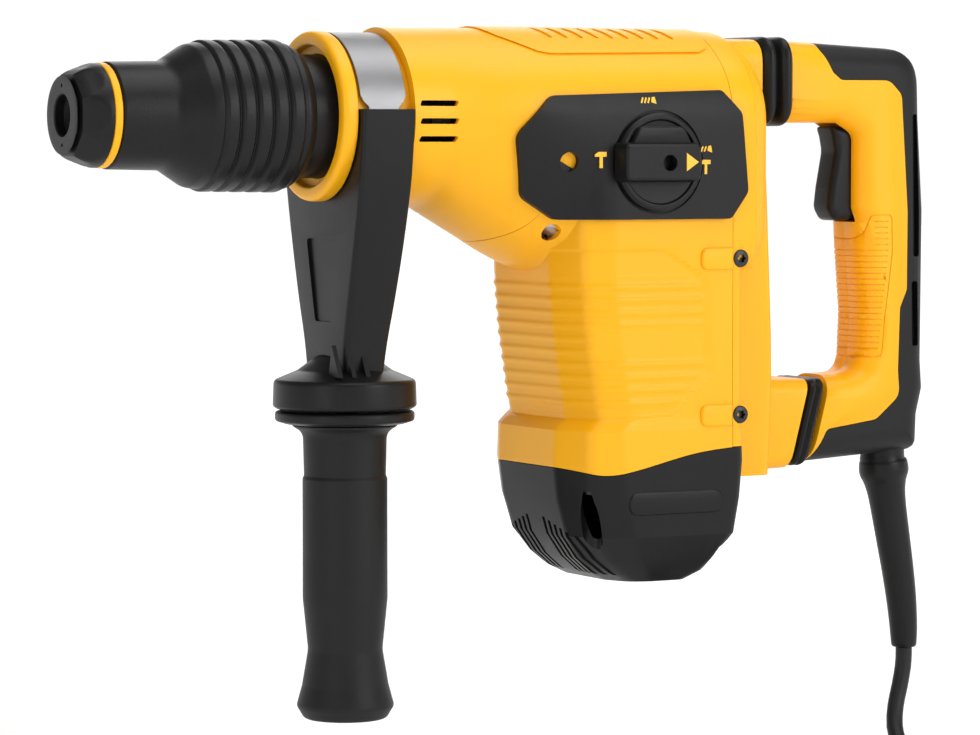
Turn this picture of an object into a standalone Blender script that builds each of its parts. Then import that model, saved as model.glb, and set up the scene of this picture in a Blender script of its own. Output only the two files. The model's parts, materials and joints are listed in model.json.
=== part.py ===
"""Combination hammer with side handle, modelled piece by piece.

Every size is in millimetres in the tool's own frame: x runs back from the front face of the
nose, y across (the selector side is -y) and z up from the hammer axis.  world() turns that
into Blender's metres, with the origin at the middle of the rear grip.
"""

import math

import bmesh
import bpy
from mathutils import Vector

# ---------------------------------------------------------------- driving dimensions
MM = 0.001
GRIP_X = 432.0          # middle of the rear grip, behind the nose face
GRIP_Z = -62.0          # middle of the rear grip, below the hammer axis
GAP = 0.3               # between pieces that touch

SHANK_R = 9.0           # standard 18 mm tool shank
BORE_GAP = 0.05         # running clearance round a shank
NECK_R = 36.0           # round neck that the side handle clamps
NECK_FRONT = 127.5
COLLAR_R = 38.8
FRONT_R = 41.0          # gear housing just behind the neck
BODY_W = 50.0           # half width of the housings
WALL = 3.2

CRANK_X, CRANK_THROW = 247.0, 14.0
MOTOR_X = 282.0
DRIVE_X = 219.5
CRANK_TEETH, PINION_TEETH, MODULE = 36, 6, 5 / 3
LOW_TEETH, DRIVE_TEETH = 12, 21
BEVEL_PINION_TEETH, BEVEL_RING_TEETH = 7, 21
BEVEL_RING_R, BEVEL_PINION_R = 30.0, 10.0
WRIST_X = CRANK_X + CRANK_THROW - 58.0
CYLINDER_R = 16.3
PISTON_R = 16.0

KNOB_X, KNOB_Z = 275.5, -21.0
SIDE_X = 139.3          # axis of the side grip
COVER_X = 318.0         # seam between the housings and the rear cover
CORD_R = 4.1
FLOOR_Z = -345.0        # level that the coiled cord lies on
COIL = (389.0, -45.0, 29.0, 63.0, 25.5)   # centre x, y, inner and outer radius, height

COLOURS = {
    "yellow": ((0.95, 0.55, 0.02, 1), 0.4, 0.0),
    "black": ((0.025, 0.025, 0.027, 1), 0.5, 0.0),
    "rubber": ((0.035, 0.035, 0.037, 1), 0.75, 0.0),
    "steel": ((0.62, 0.62, 0.64, 1), 0.35, 1.0),
    "dark_steel": ((0.25, 0.25, 0.27, 1), 0.4, 1.0),
    "copper": ((0.72, 0.38, 0.2, 1), 0.4, 1.0),
    "carbon": ((0.08, 0.08, 0.08, 1), 0.7, 0.0),
    "brass": ((0.78, 0.6, 0.28, 1), 0.35, 1.0),
}


# ---------------------------------------------------------------- making meshes
def world(point):
    x, y, z = point
    return Vector(((x - GRIP_X) * MM, y * MM, (z - GRIP_Z) * MM))


def material(key):
    found = bpy.data.materials.get(key)
    if found:
        return found
    colour, roughness, metallic = COLOURS[key]
    made = bpy.data.materials.new(key)
    made.use_nodes = True
    shader = made.node_tree.nodes["Principled BSDF"]
    shader.inputs["Base Color"].default_value = colour
    shader.inputs["Roughness"].default_value = roughness
    shader.inputs["Metallic"].default_value = metallic
    return made


def solid(name, points, faces, colour="steel", origin=(GRIP_X, 0, GRIP_Z)):
    """One closed mesh object; points are in tool millimetres, origin is its joint or centre."""
    base = world(origin)
    mesh = bpy.data.meshes.new(name)
    mesh.from_pydata([world(p) - base for p in points], [], faces)
    work = bmesh.new()
    work.from_mesh(mesh)
    bmesh.ops.remove_doubles(work, verts=work.verts, dist=1e-6)
    bmesh.ops.recalc_face_normals(work, faces=work.faces)
    bmesh.ops.connect_verts_nonplanar(work, angle_limit=1e-4, faces=work.faces)
    work.to_mesh(mesh)
    work.free()
    mesh.shade_smooth()
    mesh.set_sharp_from_angle(angle=math.radians(35))
    piece = bpy.data.objects.new(name, mesh)
    piece.location = base
    piece.data.materials.append(material(colour))
    bpy.context.scene.collection.objects.link(piece)
    return piece


def combine(piece, tool, operation):
    """Applies a Boolean with tool, and removes tool."""
    change = piece.modifiers.new(operation, "BOOLEAN")
    change.operation = operation
    change.object = tool
    change.solver = "EXACT"
    bpy.context.view_layer.update()
    graph = bpy.context.evaluated_depsgraph_get()
    result = bpy.data.meshes.new_from_object(piece.evaluated_get(graph))
    piece.modifiers.remove(change)
    piece.data = result
    result.name = piece.name
    result.shade_smooth()
    result.set_sharp_from_angle(angle=math.radians(35))
    bpy.data.objects.remove(tool)
    return piece


def cut(piece, *tools):
    for tool in tools:
        combine(piece, tool, "DIFFERENCE")
    return piece


def join(piece, *tools):
    for tool in tools:
        combine(piece, tool, "UNION")
    return piece


def keep(piece, tool):
    return combine(piece, tool, "INTERSECT")


def loft(rings, closed=False):
    """Skins rings of equally many points; open lofts get end caps, closed ones join up."""
    count = len(rings[0])
    points = [p for ring in rings for p in ring]
    faces = []
    spans = len(rings) if closed else len(rings) - 1
    for i in range(spans):
        a = i * count
        b = ((i + 1) % len(rings)) * count
        for j in range(count):
            k = (j + 1) % count
            faces.append((a + j, a + k, b + k, b + j))
    if not closed:
        faces.append(tuple(range(count)))
        faces.append(tuple(range(len(points) - count, len(points))))
    return points, faces


def turn_point(axis, centre, along, radius, angle):
    """The point at this distance along a turned part's axis, and this radius and angle."""
    c, s = radius * math.cos(angle), radius * math.sin(angle)
    x, y, z = centre
    if axis == "X":
        return (x + along, y + c, z + s)
    if axis == "Y":
        return (x + c, y + along, z + s)
    return (x + c, y + s, z + along)


def turned(name, axis, centre, profile, colour="steel", segments=24, origin=None):
    """Turns a closed profile of (along, radius); a solid part's profile starts and ends at radius 0."""
    rings = []
    for along, radius in profile:
        r = max(radius, 1e-4)
        angles = [2 * math.pi * k / segments for k in range(segments)]
        rings.append([turn_point(axis, centre, along, r, a) for a in angles])
    hollow = min(r for _, r in profile) > 0
    points, faces = loft(rings, closed=hollow)
    return solid(name, points, faces, colour, origin or centre)


def rod(name, axis, centre, start, end, radius, colour="steel", segments=24, origin=None):
    rings = []
    for along in (start, end):
        angles = [2 * math.pi * k / segments for k in range(segments)]
        rings.append([turn_point(axis, centre, along, radius, a) for a in angles])
    points, faces = loft(rings)
    return solid(name, points, faces, colour, origin or centre)


def tube(name, axis, centre, start, end, inner, outer, colour="steel", segments=24):
    profile = [(start, inner), (start, outer), (end, outer), (end, inner)]
    return turned(name, axis, centre, profile, colour, segments)


def box(name, low, high, colour="steel", origin=None):
    (x0, y0, z0), (x1, y1, z1) = low, high
    rings = [[(x, y0, z0), (x, y1, z0), (x, y1, z1), (x, y0, z1)] for x in (x0, x1)]
    points, faces = loft(rings)
    middle = ((x0 + x1) / 2, (y0 + y1) / 2, (z0 + z1) / 2)
    return solid(name, points, faces, colour, origin or middle)


def rounded(corners, steps=3):
    """An outline from (a, b, radius) corners, each rounded with an arc of steps spans."""
    outline = []
    count = len(corners)
    for i, (a, b, radius) in enumerate(corners):
        here = Vector((a, b))
        before = Vector(corners[i - 1][:2]) - here
        after = Vector(corners[(i + 1) % count][:2]) - here
        half = before.angle(after) / 2
        reach = radius / math.tan(half) if radius else 0.0
        reach = min(reach, 0.49 * before.length, 0.49 * after.length)
        start = here + before.normalized() * reach
        end = here + after.normalized() * reach
        if reach < 1e-6:
            outline.append((here.x, here.y))
            continue
        for k in range(steps + 1):
            t = k / steps
            point = start * (1 - t) ** 2 + here * 2 * t * (1 - t) + end * t ** 2
            outline.append((point.x, point.y))
    return outline


def shrunk(corners, distance):
    """The (a, b, radius) corners of the same outline moved inwards by distance."""
    spots = [Vector(c[:2]) for c in corners]
    area = sum(p.cross(q) for p, q in zip(spots, spots[1:] + spots[:1]))
    side = 1 if area > 0 else -1
    moved = []
    for i, here in enumerate(spots):
        before = (here - spots[i - 1]).normalized()
        after = (spots[(i + 1) % len(spots)] - here).normalized()
        normal = Vector((-before.y - after.y, before.x + after.x)).normalized() * side
        share = normal.dot(Vector((-before.y, before.x)) * side)
        place = here + normal * distance / max(0.3, share)
        convex = before.cross(after) * side > 0
        radius = max(corners[i][2] - distance, 0.3) if convex else corners[i][2] + distance
        moved.append((place.x, place.y, radius))
    return moved


def slab(name, outline, y0, y1, colour="steel", origin=None):
    """An outline in the XZ plane, extruded across from y0 to y1."""
    rings = [[(x, y, z) for x, z in outline] for y in (y0, y1)]
    points, faces = loft(rings)
    return solid(name, points, faces, colour, origin or (outline[0][0], 0, outline[0][1]))


def pillow(name, corners, half_width, edge, colour="steel", steps=2, origin=None):
    """XZ corners extruded to +-half_width, with both rims rounded to the radius edge."""
    rings = []
    for side in (-1, 1):
        turns = range(steps + 1) if side < 0 else range(steps, -1, -1)
        for k in turns:
            angle = math.pi / 2 * k / steps
            y = side * (half_width - edge * (1 - math.cos(angle)))
            ring = rounded(shrunk(corners, edge * (1 - math.sin(angle))))
            rings.append([(x, y, z) for x, z in ring])
    points, faces = loft(rings)
    return solid(name, points, faces, colour, origin or (GRIP_X, 0, GRIP_Z))


def coil_spring(name, axis, centre, start, end, radius, wire, turns, colour="steel"):
    """A round-wire helix with sides that follow its own path."""
    sides, per_turn = 5, 10
    total = int(turns * per_turn)
    rings = []
    for i in range(total + 1):
        angle = 2 * math.pi * i / per_turn
        along = start + wire + (end - start - 2 * wire) * i / total
        ring = []
        for k in range(sides):
            a = 2 * math.pi * k / sides
            r = radius + wire * math.cos(a)
            ring.append(turn_point(axis, centre, along + wire * math.sin(a), r, angle))
        rings.append(ring)
    points, faces = loft(rings)
    return solid(name, points, faces, colour, centre)


# ---------------------------------------------------------------- gears
def tooth_outline(teeth, module, phase, addendum=0.9, dedendum=1.2):
    """(radius, angle) of a spur gear's outline, four points a tooth, with easy backlash."""
    pitch_r = teeth * module / 2
    pitch = 2 * math.pi / teeth
    outline = []
    for i in range(teeth):
        middle = phase + i * pitch
        outline.append((pitch_r - dedendum * module, middle - 0.29 * pitch))
        outline.append((pitch_r + addendum * module, middle - 0.11 * pitch))
        outline.append((pitch_r + addendum * module, middle + 0.11 * pitch))
        outline.append((pitch_r - dedendum * module, middle + 0.29 * pitch))
    return outline


def spur_gear(name, centre, low, high, teeth, module, phase, colour="dark_steel"):
    x, y, _ = centre
    outline = tooth_outline(teeth, module, phase)
    rings = []
    for z in (low, high):
        rings.append([(x + r * math.cos(a), y + r * math.sin(a), z) for r, a in outline])
    points, faces = loft(rings)
    return solid(name, points, faces, colour, centre)


def bevel_ring(axis_point, cone, reach, teeth, module, phase):
    """Tooth points on one end of a bevel gear: reach is the distance from the apex."""
    up, down = 0.55 * module / reach, 0.75 * module / reach
    pitch = 2 * math.pi / teeth
    ring = []
    for i in range(teeth):
        for share, tilt in ((-0.3, -down), (-0.12, up), (0.12, up), (0.3, -down)):
            angle = phase + (i + share) * pitch
            radius = reach * math.sin(cone + tilt)
            along = reach * math.cos(cone + tilt)
            ring.append(axis_point(along, radius, angle))
    return ring


def circle_like(ring_size, axis_point, along, radius, phase):
    angles = [phase + 2 * math.pi * (k - 1.2) / ring_size for k in range(ring_size)]
    return [axis_point(along, radius, a) for a in angles]


def make_bevel_gears():
    """A small bevel gear on the drive shaft turns the ring round the cylinder."""
    apex = (DRIVE_X, 0.0, 0.0)
    far = math.hypot(BEVEL_RING_R, BEVEL_PINION_R)
    near = 0.76 * far
    module = 2 * BEVEL_RING_R / BEVEL_RING_TEETH

    def on_x(along, radius, angle):
        return (apex[0] - along, radius * math.cos(angle), radius * math.sin(angle))

    def on_z(along, radius, angle):
        return (apex[0] + radius * math.cos(angle), radius * math.sin(angle), -along)

    ring_cone = math.atan2(BEVEL_RING_R, BEVEL_PINION_R)
    size = BEVEL_RING_TEETH * 4
    turn = -math.pi / 2
    bore = 19.5 + GAP
    rings = [
        circle_like(size, on_x, 7.5, bore, turn),
        bevel_ring(on_x, ring_cone, near, BEVEL_RING_TEETH, module * 0.76, turn),
        bevel_ring(on_x, ring_cone, far, BEVEL_RING_TEETH, module, turn),
        circle_like(size, on_x, 17.0, 29.5, turn),
        circle_like(size, on_x, 17.0, bore, turn),
    ]
    points, faces = loft(rings, closed=True)
    solid("bevel_ring_gear", points, faces, "dark_steel", (DRIVE_X - 12, 0, 0))

    pinion_cone = math.atan2(BEVEL_PINION_R, BEVEL_RING_R)
    half = math.pi / BEVEL_PINION_TEETH
    size = BEVEL_PINION_TEETH * 4
    rings = [
        bevel_ring(on_z, pinion_cone, near, BEVEL_PINION_TEETH, module * 0.76, math.pi + half),
        bevel_ring(on_z, pinion_cone, far, BEVEL_PINION_TEETH, module, math.pi + half),
        circle_like(size, on_z, far * math.cos(pinion_cone) + 3.0, 7.0, math.pi + half),
    ]
    points, faces = loft(rings)
    shaft = solid("drive_shaft", points, faces, "dark_steel", (DRIVE_X, 0, -40))
    phase = math.pi / DRIVE_TEETH
    gear = spur_gear("drive_gear", (DRIVE_X, 0, -40), -44, -36, DRIVE_TEETH, MODULE, phase)
    join(shaft, rod("drive_stem", "Z", (DRIVE_X, 0, 0), -58, -32, 5.0, segments=16), gear)
    shaft.name = "drive_shaft"


# ---------------------------------------------------------------- nose and spindle
def sleeve_outline():
    """(x, radius) down the locking sleeve's outside: nose tube, cone, ribs, rounded end."""
    outline = [(20.0, 23.4), (21.0, 24.2), (48.0, 24.4), (59.5, 31.8), (63.5, 33.0)]
    crest, valley, pitch = 34.3, 32.7, 8.0
    for i in range(5):
        start = 65.0 + i * pitch
        outline += [(start, valley), (start + 1.8, crest), (start + 6.0, crest)]
    return outline + [(106.0, 33.2), (109.5, 31.2), (111.0, 29.6)]


def make_nose():
    axis = (0.0, 0.0, 0.0)
    turned("nose_cap", "X", axis, [
        (0, 9.6), (0, 17.0), (5.5, 20.6), (13.0, 23.0), (15.7, 23.0), (15.7, 15.1), (4.6, 15.1), (4.6, 9.6),
    ], "rubber")
    turned("nose_ring", "X", axis, [
        (16.0, 15.1), (16.0, 22.5), (16.9, 23.6), (18.8, 23.6), (19.7, 22.5), (19.7, 15.1),
    ], "yellow")
    inside = [(111.0, 28.7), (62.0, 28.7), (55.0, 21.8), (24.2, 21.8), (24.2, 15.2), (20.0, 15.2)]
    turned("locking_sleeve", "X", axis, sleeve_outline() + inside, "rubber")
    coil_spring("lock_spring", "X", axis, 24.8, 61.2, 18.4, 1.2, 5.5)
    holder = turned("tool_holder", "X", axis, [
        (5.0, SHANK_R + BORE_GAP), (5.0, 14.7), (61.5, 14.7), (61.5, 19.4), (104.0, 19.4),
        (104.0, 15.0), (76.0, 15.0), (76.0, SHANK_R + BORE_GAP),
    ], "steel")
    for name, side in (("lock_roller_upper", 1), ("lock_roller_lower", -1)):
        low, high = sorted((side * 8.5, side * 16.0))
        cut(holder, box("window", (43.6, -3.3, low), (56.4, 3.3, high)))
        rod(name, "X", (50.0, 0, side * 11.6), -6.0, 6.0, 3.0, "dark_steel", 12)
    turned("front_barrel", "X", axis, [
        (96.0, 26.2), (96.0, 28.2), (112.0, 28.2), (170.0, 28.2), (170.0, 26.2),
    ], "black")


def make_striking_train():
    axis = (0.0, 0.0, 0.0)
    turned("beat_piece", "X", axis, [
        (68.0, 0), (68.0, 7.4), (70.0, 8.7), (82.0, 8.7), (84.0, 14.6), (96.0, 14.6), (98.0, 9.0),
        (110.0, 9.0), (110.0, 0),
    ], "steel", 24)
    tube("hammer_cylinder", "X", axis, 104.3, 213.0, CYLINDER_R, 19.5, "steel")
    turned("ram", "X", axis, [
        (122.0, 0), (122.0, 14.5), (123.5, PISTON_R), (134.0, PISTON_R), (134.0, 15.0), (137.0, 15.0),
        (137.0, PISTON_R), (152.0, PISTON_R), (152.0, 0),
    ], "steel")
    piston = rod("piston", "X", axis, 187.0, 213.0, PISTON_R, origin=(WRIST_X, 0, 0))
    cut(piston, box("rod_slot", (194.0, -10.0, -5.0), (215.0, 10.0, 5.0)))
    cut(piston, rod("pin_hole", "Z", (WRIST_X, 0, 0), -20, 20, 4.2, segments=16))
    rod("wrist_pin", "Z", (WRIST_X, 0, 0), -12.5, 12.5, 3.9, "steel", 16)
    big_x = CRANK_X + CRANK_THROW
    link = rod("connecting_rod", "Z", (WRIST_X, 0, 0), -4, 4, 7.5, "steel", 24)
    beam = box("beam", (WRIST_X + 3, -4.5, -3.2), (big_x - 3, 4.5, 3.2))
    join(link, beam, rod("big_eye", "Z", (big_x, 0, 0), -4, 4, 9.5, segments=24))
    cut(link, rod("eye", "Z", (big_x, 0, 0), -9, 9, 5.4, segments=20))
    cut(link, rod("eye", "Z", (WRIST_X, 0, 0), -9, 9, 4.2, segments=16))


def make_gear_train():
    centre = (CRANK_X, 0, -16)
    crank = spur_gear("crankshaft", centre, -20, -12, CRANK_TEETH, MODULE, 0.0)
    join(crank, rod("crank_pin", "Z", (CRANK_X + CRANK_THROW, 0, 0), -13, -4.5, 5.0, segments=20))
    join(crank, rod("crank_stem", "Z", (CRANK_X, 0, 0), -58, -19, 7.0, segments=20))
    join(crank, spur_gear("low_gear", centre, -44, -36, LOW_TEETH, MODULE, math.pi))
    make_bevel_gears()


# ---------------------------------------------------------------- motor
def make_motor():
    at = (MOTOR_X, 0.0, 0.0)
    outline = tooth_outline(PINION_TEETH, MODULE, math.pi + math.pi / PINION_TEETH, 0.8, 1.1)
    angles = [a for _, a in outline]
    rings = []
    for z in (-170.0, -21.5):
        rings.append([(MOTOR_X + 3.6 * math.cos(a), 3.6 * math.sin(a), z) for a in angles])
    for z in (-21.5, -11.0):
        rings.append([(MOTOR_X + r * math.cos(a), r * math.sin(a), z) for r, a in outline])
    points, faces = loft(rings)
    solid("armature_shaft", points, faces, "steel", at)

    core = []
    for r, a in tooth_outline(12, 3.4, 0.0, 0.6, 0.9):
        core.append((r, a))
    rings = []
    for z, radius in ((-84, None), (-124, None), (-124, 3.9), (-84, 3.9)):
        rings.append([
            (MOTOR_X + (radius or r) * math.cos(a), (radius or r) * math.sin(a), z) for r, a in core
        ])
    points, faces = loft(rings, closed=True)
    solid("armature_core", points, faces, "copper", at)

    tube("commutator", "Z", at, -148, -132, 3.9, 13.5, "copper", 24)
    tube("stator", "Z", at, -128, -80, 24.5, 38.0, "dark_steel")
    tube("upper_motor_bearing", "Z", at, -58, -49, 3.9, 12.0, "steel", 20)
    tube("lower_motor_bearing", "Z", at, -169, -162, 3.9, 10.0, "steel", 20)

    blades = tooth_outline(13, 5.0, 0.0, 0.3, 4.6)
    rings = []
    for z, radius in ((-62, 3.9), (-62, 34.0), (-63.6, 34.0)):
        rings.append([(MOTOR_X + radius * math.cos(a), radius * math.sin(a), z) for _, a in blades])
    for z in (-63.6, -72.0):
        rings.append([(MOTOR_X + r * math.cos(a), r * math.sin(a), z) for r, a in blades])
    rings.append([(MOTOR_X + 3.9 * math.cos(a), 3.9 * math.sin(a), -72.0) for _, a in blades])
    points, faces = loft(rings, closed=True)
    solid("cooling_fan", points, faces, "black", at)

    for name, side in (("carbon_brush_left", -1), ("carbon_brush_right", 1)):
        low, high = sorted((side * 13.9, side * 27.0))
        box(name, (MOTOR_X - 4, low, -145), (MOTOR_X + 4, high, -136), "carbon")


def make_bearings():
    tube("crank_bearing", "Z", (CRANK_X, 0, 0), -58, -49, 7.3, 14.0, "steel", 20)
    tube("drive_shaft_bearing", "Z", (DRIVE_X, 0, 0), -58, -49, 5.3, 10.0, "steel", 20)
    tube("spindle_bearing_front", "X", (0, 0, 0), 130, 142, 19.8, 25.9, "steel")
    tube("spindle_seal", "X", (0, 0, 0), 112, 118, 19.8, 25.9, "rubber")
    tube("spindle_bearing_rear", "X", (0, 0, 0), 180, 190, 19.8, 27.0, "steel")


# ---------------------------------------------------------------- housings
# Right half of the section well behind the neck, from the top down: y, z, and the angle of
# the same point on the round front section.
SECTION = [
    (0.0, 41.5, 90), (11.5, 40.7, 74), (21.5, 37.7, 58), (31.0, 32.0, 44), (40.0, 24.0, 31),
    (46.0, 15.0, 18), (49.2, 5.0, 5), (50.0, -6.0, -8), (50.0, -33.0, -30), (50.0, -60.0, -52),
    (46.5, -69.5, -66), (37.0, -73.0, -79), (0.0, -73.0, -90),
]
BODY_BOTTOM = -73.0
# x, how far the section has changed from round to full above and below the axis, how far its
# oval underside has become square, and its scale
STATIONS = [
    (155.0, 0.0, 0.0, 0.0, 1.0), (172.0, 0.0, 0.0, 0.0, 1.0), (181.0, 0.15, 0.14, 0.0, 1.0),
    (190.0, 0.36, 0.30, 0.0, 1.0), (200.0, 0.62, 0.48, 0.0, 1.0), (215.0, 0.91, 0.75, 0.0, 1.0),
    (229.0, 1.0, 0.94, 0.0, 1.0), (240.0, 1.0, 1.0, 0.4, 1.0), (255.0, 1.0, 1.0, 1.0, 1.0),
    (322.0, 1.0, 1.0, 1.0, 1.0), (333.0, 1.0, 1.0, 1.0, 0.95), (341.0, 1.0, 1.0, 1.0, 0.84),
    (347.0, 1.0, 1.0, 1.0, 0.66),
]


def upper_ring(x, above, below, square, scale, inward):
    half = []
    for y, z, degrees in SECTION:
        angle = math.radians(degrees)
        round_y, round_z = FRONT_R * math.cos(angle), FRONT_R * math.sin(angle)
        full = above
        if degrees < -10:
            oval_y, oval_z = BODY_W * math.cos(angle), -BODY_BOTTOM * math.sin(angle)
            y = oval_y + (y - oval_y) * square
            z = oval_z + (z - oval_z) * square
            full = below
        wide = round_y + (y - round_y) * full
        tall = round_z + (z - round_z) * full
        half.append((wide * scale * (1 - inward / BODY_W), tall * scale * (1 - inward / 45.0)))
    ring = half + [(-y, z) for y, z in reversed(half[1:-1])]
    return [(x, round(y, 4), round(z, 4)) for y, z in ring]


def upper_volume(inward):
    stations = [list(s) for s in STATIONS]
    stations[0][0] += inward
    stations[-1][0] -= inward
    points, faces = loft([upper_ring(*s, inward) for s in stations])
    return solid("upper_volume", points, faces, "yellow")


def lower_stations():
    """(z, front, back, half width) down the motor housing and its cap."""
    return [
        (-38.0, 231.0, 325.0, BODY_W), (-72.0, 231.4, 325.0, BODY_W), (-101.0, 234.0, 325.0, BODY_W),
        (-127.0, 238.0, 325.0, BODY_W), (-141.0, 240.3, 325.0, BODY_W), (-146.0, 235.2, 325.5, 50.5),
        (-162.0, 234.6, 326.0, 50.5), (-179.0, 236.8, 324.8, 50.0), (-196.0, 242.0, 322.0, 49.3),
        (-207.0, 249.8, 315.5, 43.5), (-214.0, 258.0, 310.0, 39.5), (-218.4, 267.0, 303.0, 35.0),
    ]


def lower_ring(station, inward):
    z, front, back, width = station
    w = width - inward
    taper = min(24.0, 0.4 * (back - front))
    half = [
        (front + inward, 0.53 * w, 8.0), (front + inward + 0.38 * taper, 0.90 * w, 10.0),
        (front + inward + taper, w, 14.0), (back - inward, w, 7.0),
    ]
    corners = half + [(x, -y, r) for x, y, r in reversed(half)]
    return [(x, y, z) for x, y in rounded(corners, 2)]


def lower_volume(inward):
    stations = lower_stations()
    if inward:
        last = stations[-1]
        stations = stations[:-1] + [(last[0] + inward,) + last[1:]]
    points, faces = loft([lower_ring(s, inward) for s in stations])
    return solid("lower_volume", points, faces, "yellow")


def body_volume(inward):
    return join(upper_volume(inward), lower_volume(inward))


def seam(upper):
    """XZ outline above or below the joint between gear housing and motor housing."""
    shift = GAP / 2 if upper else -GAP / 2
    curve = [(150.0, -61.5), (188.0, -60.6), (202.0, -58.3), (211.0, -54.6), (217.5, -50.0), (223.0, -43.0)]
    edge = [(x, z + shift) for x, z in curve] + [(360.0, -43.0 + shift)]
    far = 60.0 if upper else -230.0
    return edge + [(360.0, far), (150.0, far)]


def cap_line(upper):
    """XZ outline above or below the waved joint between motor housing and motor cap."""
    shift = GAP / 2 if upper else -GAP / 2
    curve = [
        (220.0, -161.5), (236.0, -163.5), (250.0, -166.5), (266.0, -164.5), (301.0, -157.0),
        (340.0, -154.0),
    ]
    edge = [(x, z + shift) for x, z in curve]
    far = 0.0 if upper else -230.0
    return edge + [(340.0, far), (220.0, far)]


def housing_shell(name, colour):
    shell = body_volume(0.0)
    cut(shell, body_volume(WALL))
    shell.name = name
    shell.data.materials.clear()
    shell.data.materials.append(material(colour))
    return shell


def front_of_cover():
    return box("front_half", (100, -80, -240), (COVER_X, 80, 80))


def make_gear_housing():
    housing = housing_shell("gear_housing", "yellow")
    keep(housing, slab("above_seam", seam(True), -80, 80))
    keep(housing, front_of_cover())
    neck = turned("neck", "X", (0, 0, 0), [
        (NECK_FRONT + GAP, 0), (NECK_FRONT + GAP, NECK_R), (157.0, NECK_R), (157.0, 0),
    ], "yellow")
    join(housing, neck)
    cut(housing, rod("bore", "X", (0, 0, 0), 120, 165, 28.5))
    join(housing, tube("bearing_seat", "X", (0, 0, 0), 178, 192, 27.3, 40.0))
    cut(housing, rod("selector_hole", "Y", (KNOB_X, 0, KNOB_Z), -70, -30, 6.4, segments=16))
    for z in (5.8, -2.3, -10.4):
        for side in (-1, 1):
            low, high = sorted((side * 36.0, side * 45.0))
            cut(housing, box("slot", (157.6, low, z - 1.3), (176.6, high, z + 1.3)))
    turned("collar_ring", "X", (0, 0, 0), [
        (120.0, 33.4), (120.3, 36.6), (121.8, 38.3), (124.0, COLLAR_R), (NECK_FRONT, COLLAR_R),
        (NECK_FRONT, 28.5), (125.5, 28.5), (125.5, 32.6), (121.0, 32.6),
    ], "yellow")


def vent_strip(x, low_angle, lift, thickness):
    ring = []
    count = 10
    for depth, order in ((lift, range(count + 1)), (lift + thickness, range(count, -1, -1))):
        for k in order:
            a = low_angle + (math.pi - 2 * low_angle) * k / count
            n = 2.05
            y = (BODY_W + depth) * math.copysign(abs(math.cos(a)) ** (2 / n), math.cos(a))
            z = (41.5 + depth) * abs(math.sin(a)) ** (2 / n)
            ring.append((x, y, z))
    return ring


def make_vent_cover():
    lift, thick = 0.45, 1.5
    rings = [
        vent_strip(216.0, math.radians(60), lift, thick),
        vent_strip(228.0, math.radians(49), lift, thick),
        vent_strip(314.0, math.radians(49), lift, thick),
        vent_strip(317.5, math.radians(52), lift, thick),
    ]
    points, faces = loft(rings)
    cover = solid("vent_cover", points, faces, "yellow")
    for i in range(9):
        x = 229.5 + i * 8.1
        for side in (-1, 1):
            low, high = sorted((side * 12.0, side * 24.0))
            cut(cover, box("vent_slot", (x, low, 30), (x + 2.6, high, 50)))


def selector_outline():
    return rounded([
        (220.0, 9.5, 6), (311.5, 12.6, 2), (321.5, 2.0, 4), (325.0, -35.0, 4), (315.5, -47.6, 3),
        (227.5, -47.6, 8), (209.5, -37.0, 8), (203.0, -8.5, 7),
    ], 2)


def make_selector():
    plate = slab("selector_plate", selector_outline(), -52.9, -50.5, "black")
    cut(plate, rod("knob_hole", "Y", (KNOB_X, 0, KNOB_Z), -70, -30, 6.4, segments=16))
    cut(plate, rod("plate_hole", "Y", (229.0, 0, -21.0), -70, -30, 5.0, segments=16))
    centre = (KNOB_X, 0.0, KNOB_Z)
    knob = turned("selector_knob", "Y", centre, [
        (-44.0, 0), (-44.0, 6.0), (-53.2, 6.0), (-53.2, 21.8), (-54.6, 21.8), (-55.4, 21.0), (-55.4, 0),
    ], "black")
    bar = box("bar", (KNOB_X - 21.0, -60.6, KNOB_Z - 9.6), (KNOB_X + 21.0, -55.0, KNOB_Z + 9.6))
    join(knob, bar)


def make_motor_housing():
    housing = housing_shell("motor_housing", "yellow")
    keep(housing, slab("below_seam", seam(False), -80, 80))
    keep(housing, front_of_cover())
    keep(housing, slab("above_cap", cap_line(True), -80, 80))


def make_motor_cap():
    cap = housing_shell("motor_cap", "black")
    keep(cap, slab("below_line", cap_line(False), -80, 80))


def make_gearbox_plate():
    plate = box("gearbox_plate", (190, -60, -58), (316, 60, -49), "steel")
    keep(plate, body_volume(WALL + 1.0))
    for x, radius in ((CRANK_X, 14.3), (DRIVE_X, 10.3), (MOTOR_X, 12.3)):
        cut(plate, rod("seat", "Z", (x, 0, 0), -80, -20, radius, segments=24))


def rear_spine():
    rings = []
    for z, back in ((12.0, 347.5), (-8.0, 349.8), (-57.0, 352.3), (-121.0, 354.4), (-171.0, 352.5)):
        corners = [(300.0, -32.0, 0.1), (back, -32.0, 8.0), (back, 32.0, 8.0), (300.0, 32.0, 0.1)]
        rings.append([(x, y, z) for x, y in rounded(corners)])
    points, faces = loft(rings)
    return solid("spine", points, faces, "yellow")


def slant(shift):
    """XZ outline of everything ahead of the slanted joint at the handle's foot, plus shift."""
    return [(300, -60), (404.3 + shift, -92), (379.3 + shift, -186), (300, -190)]


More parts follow.
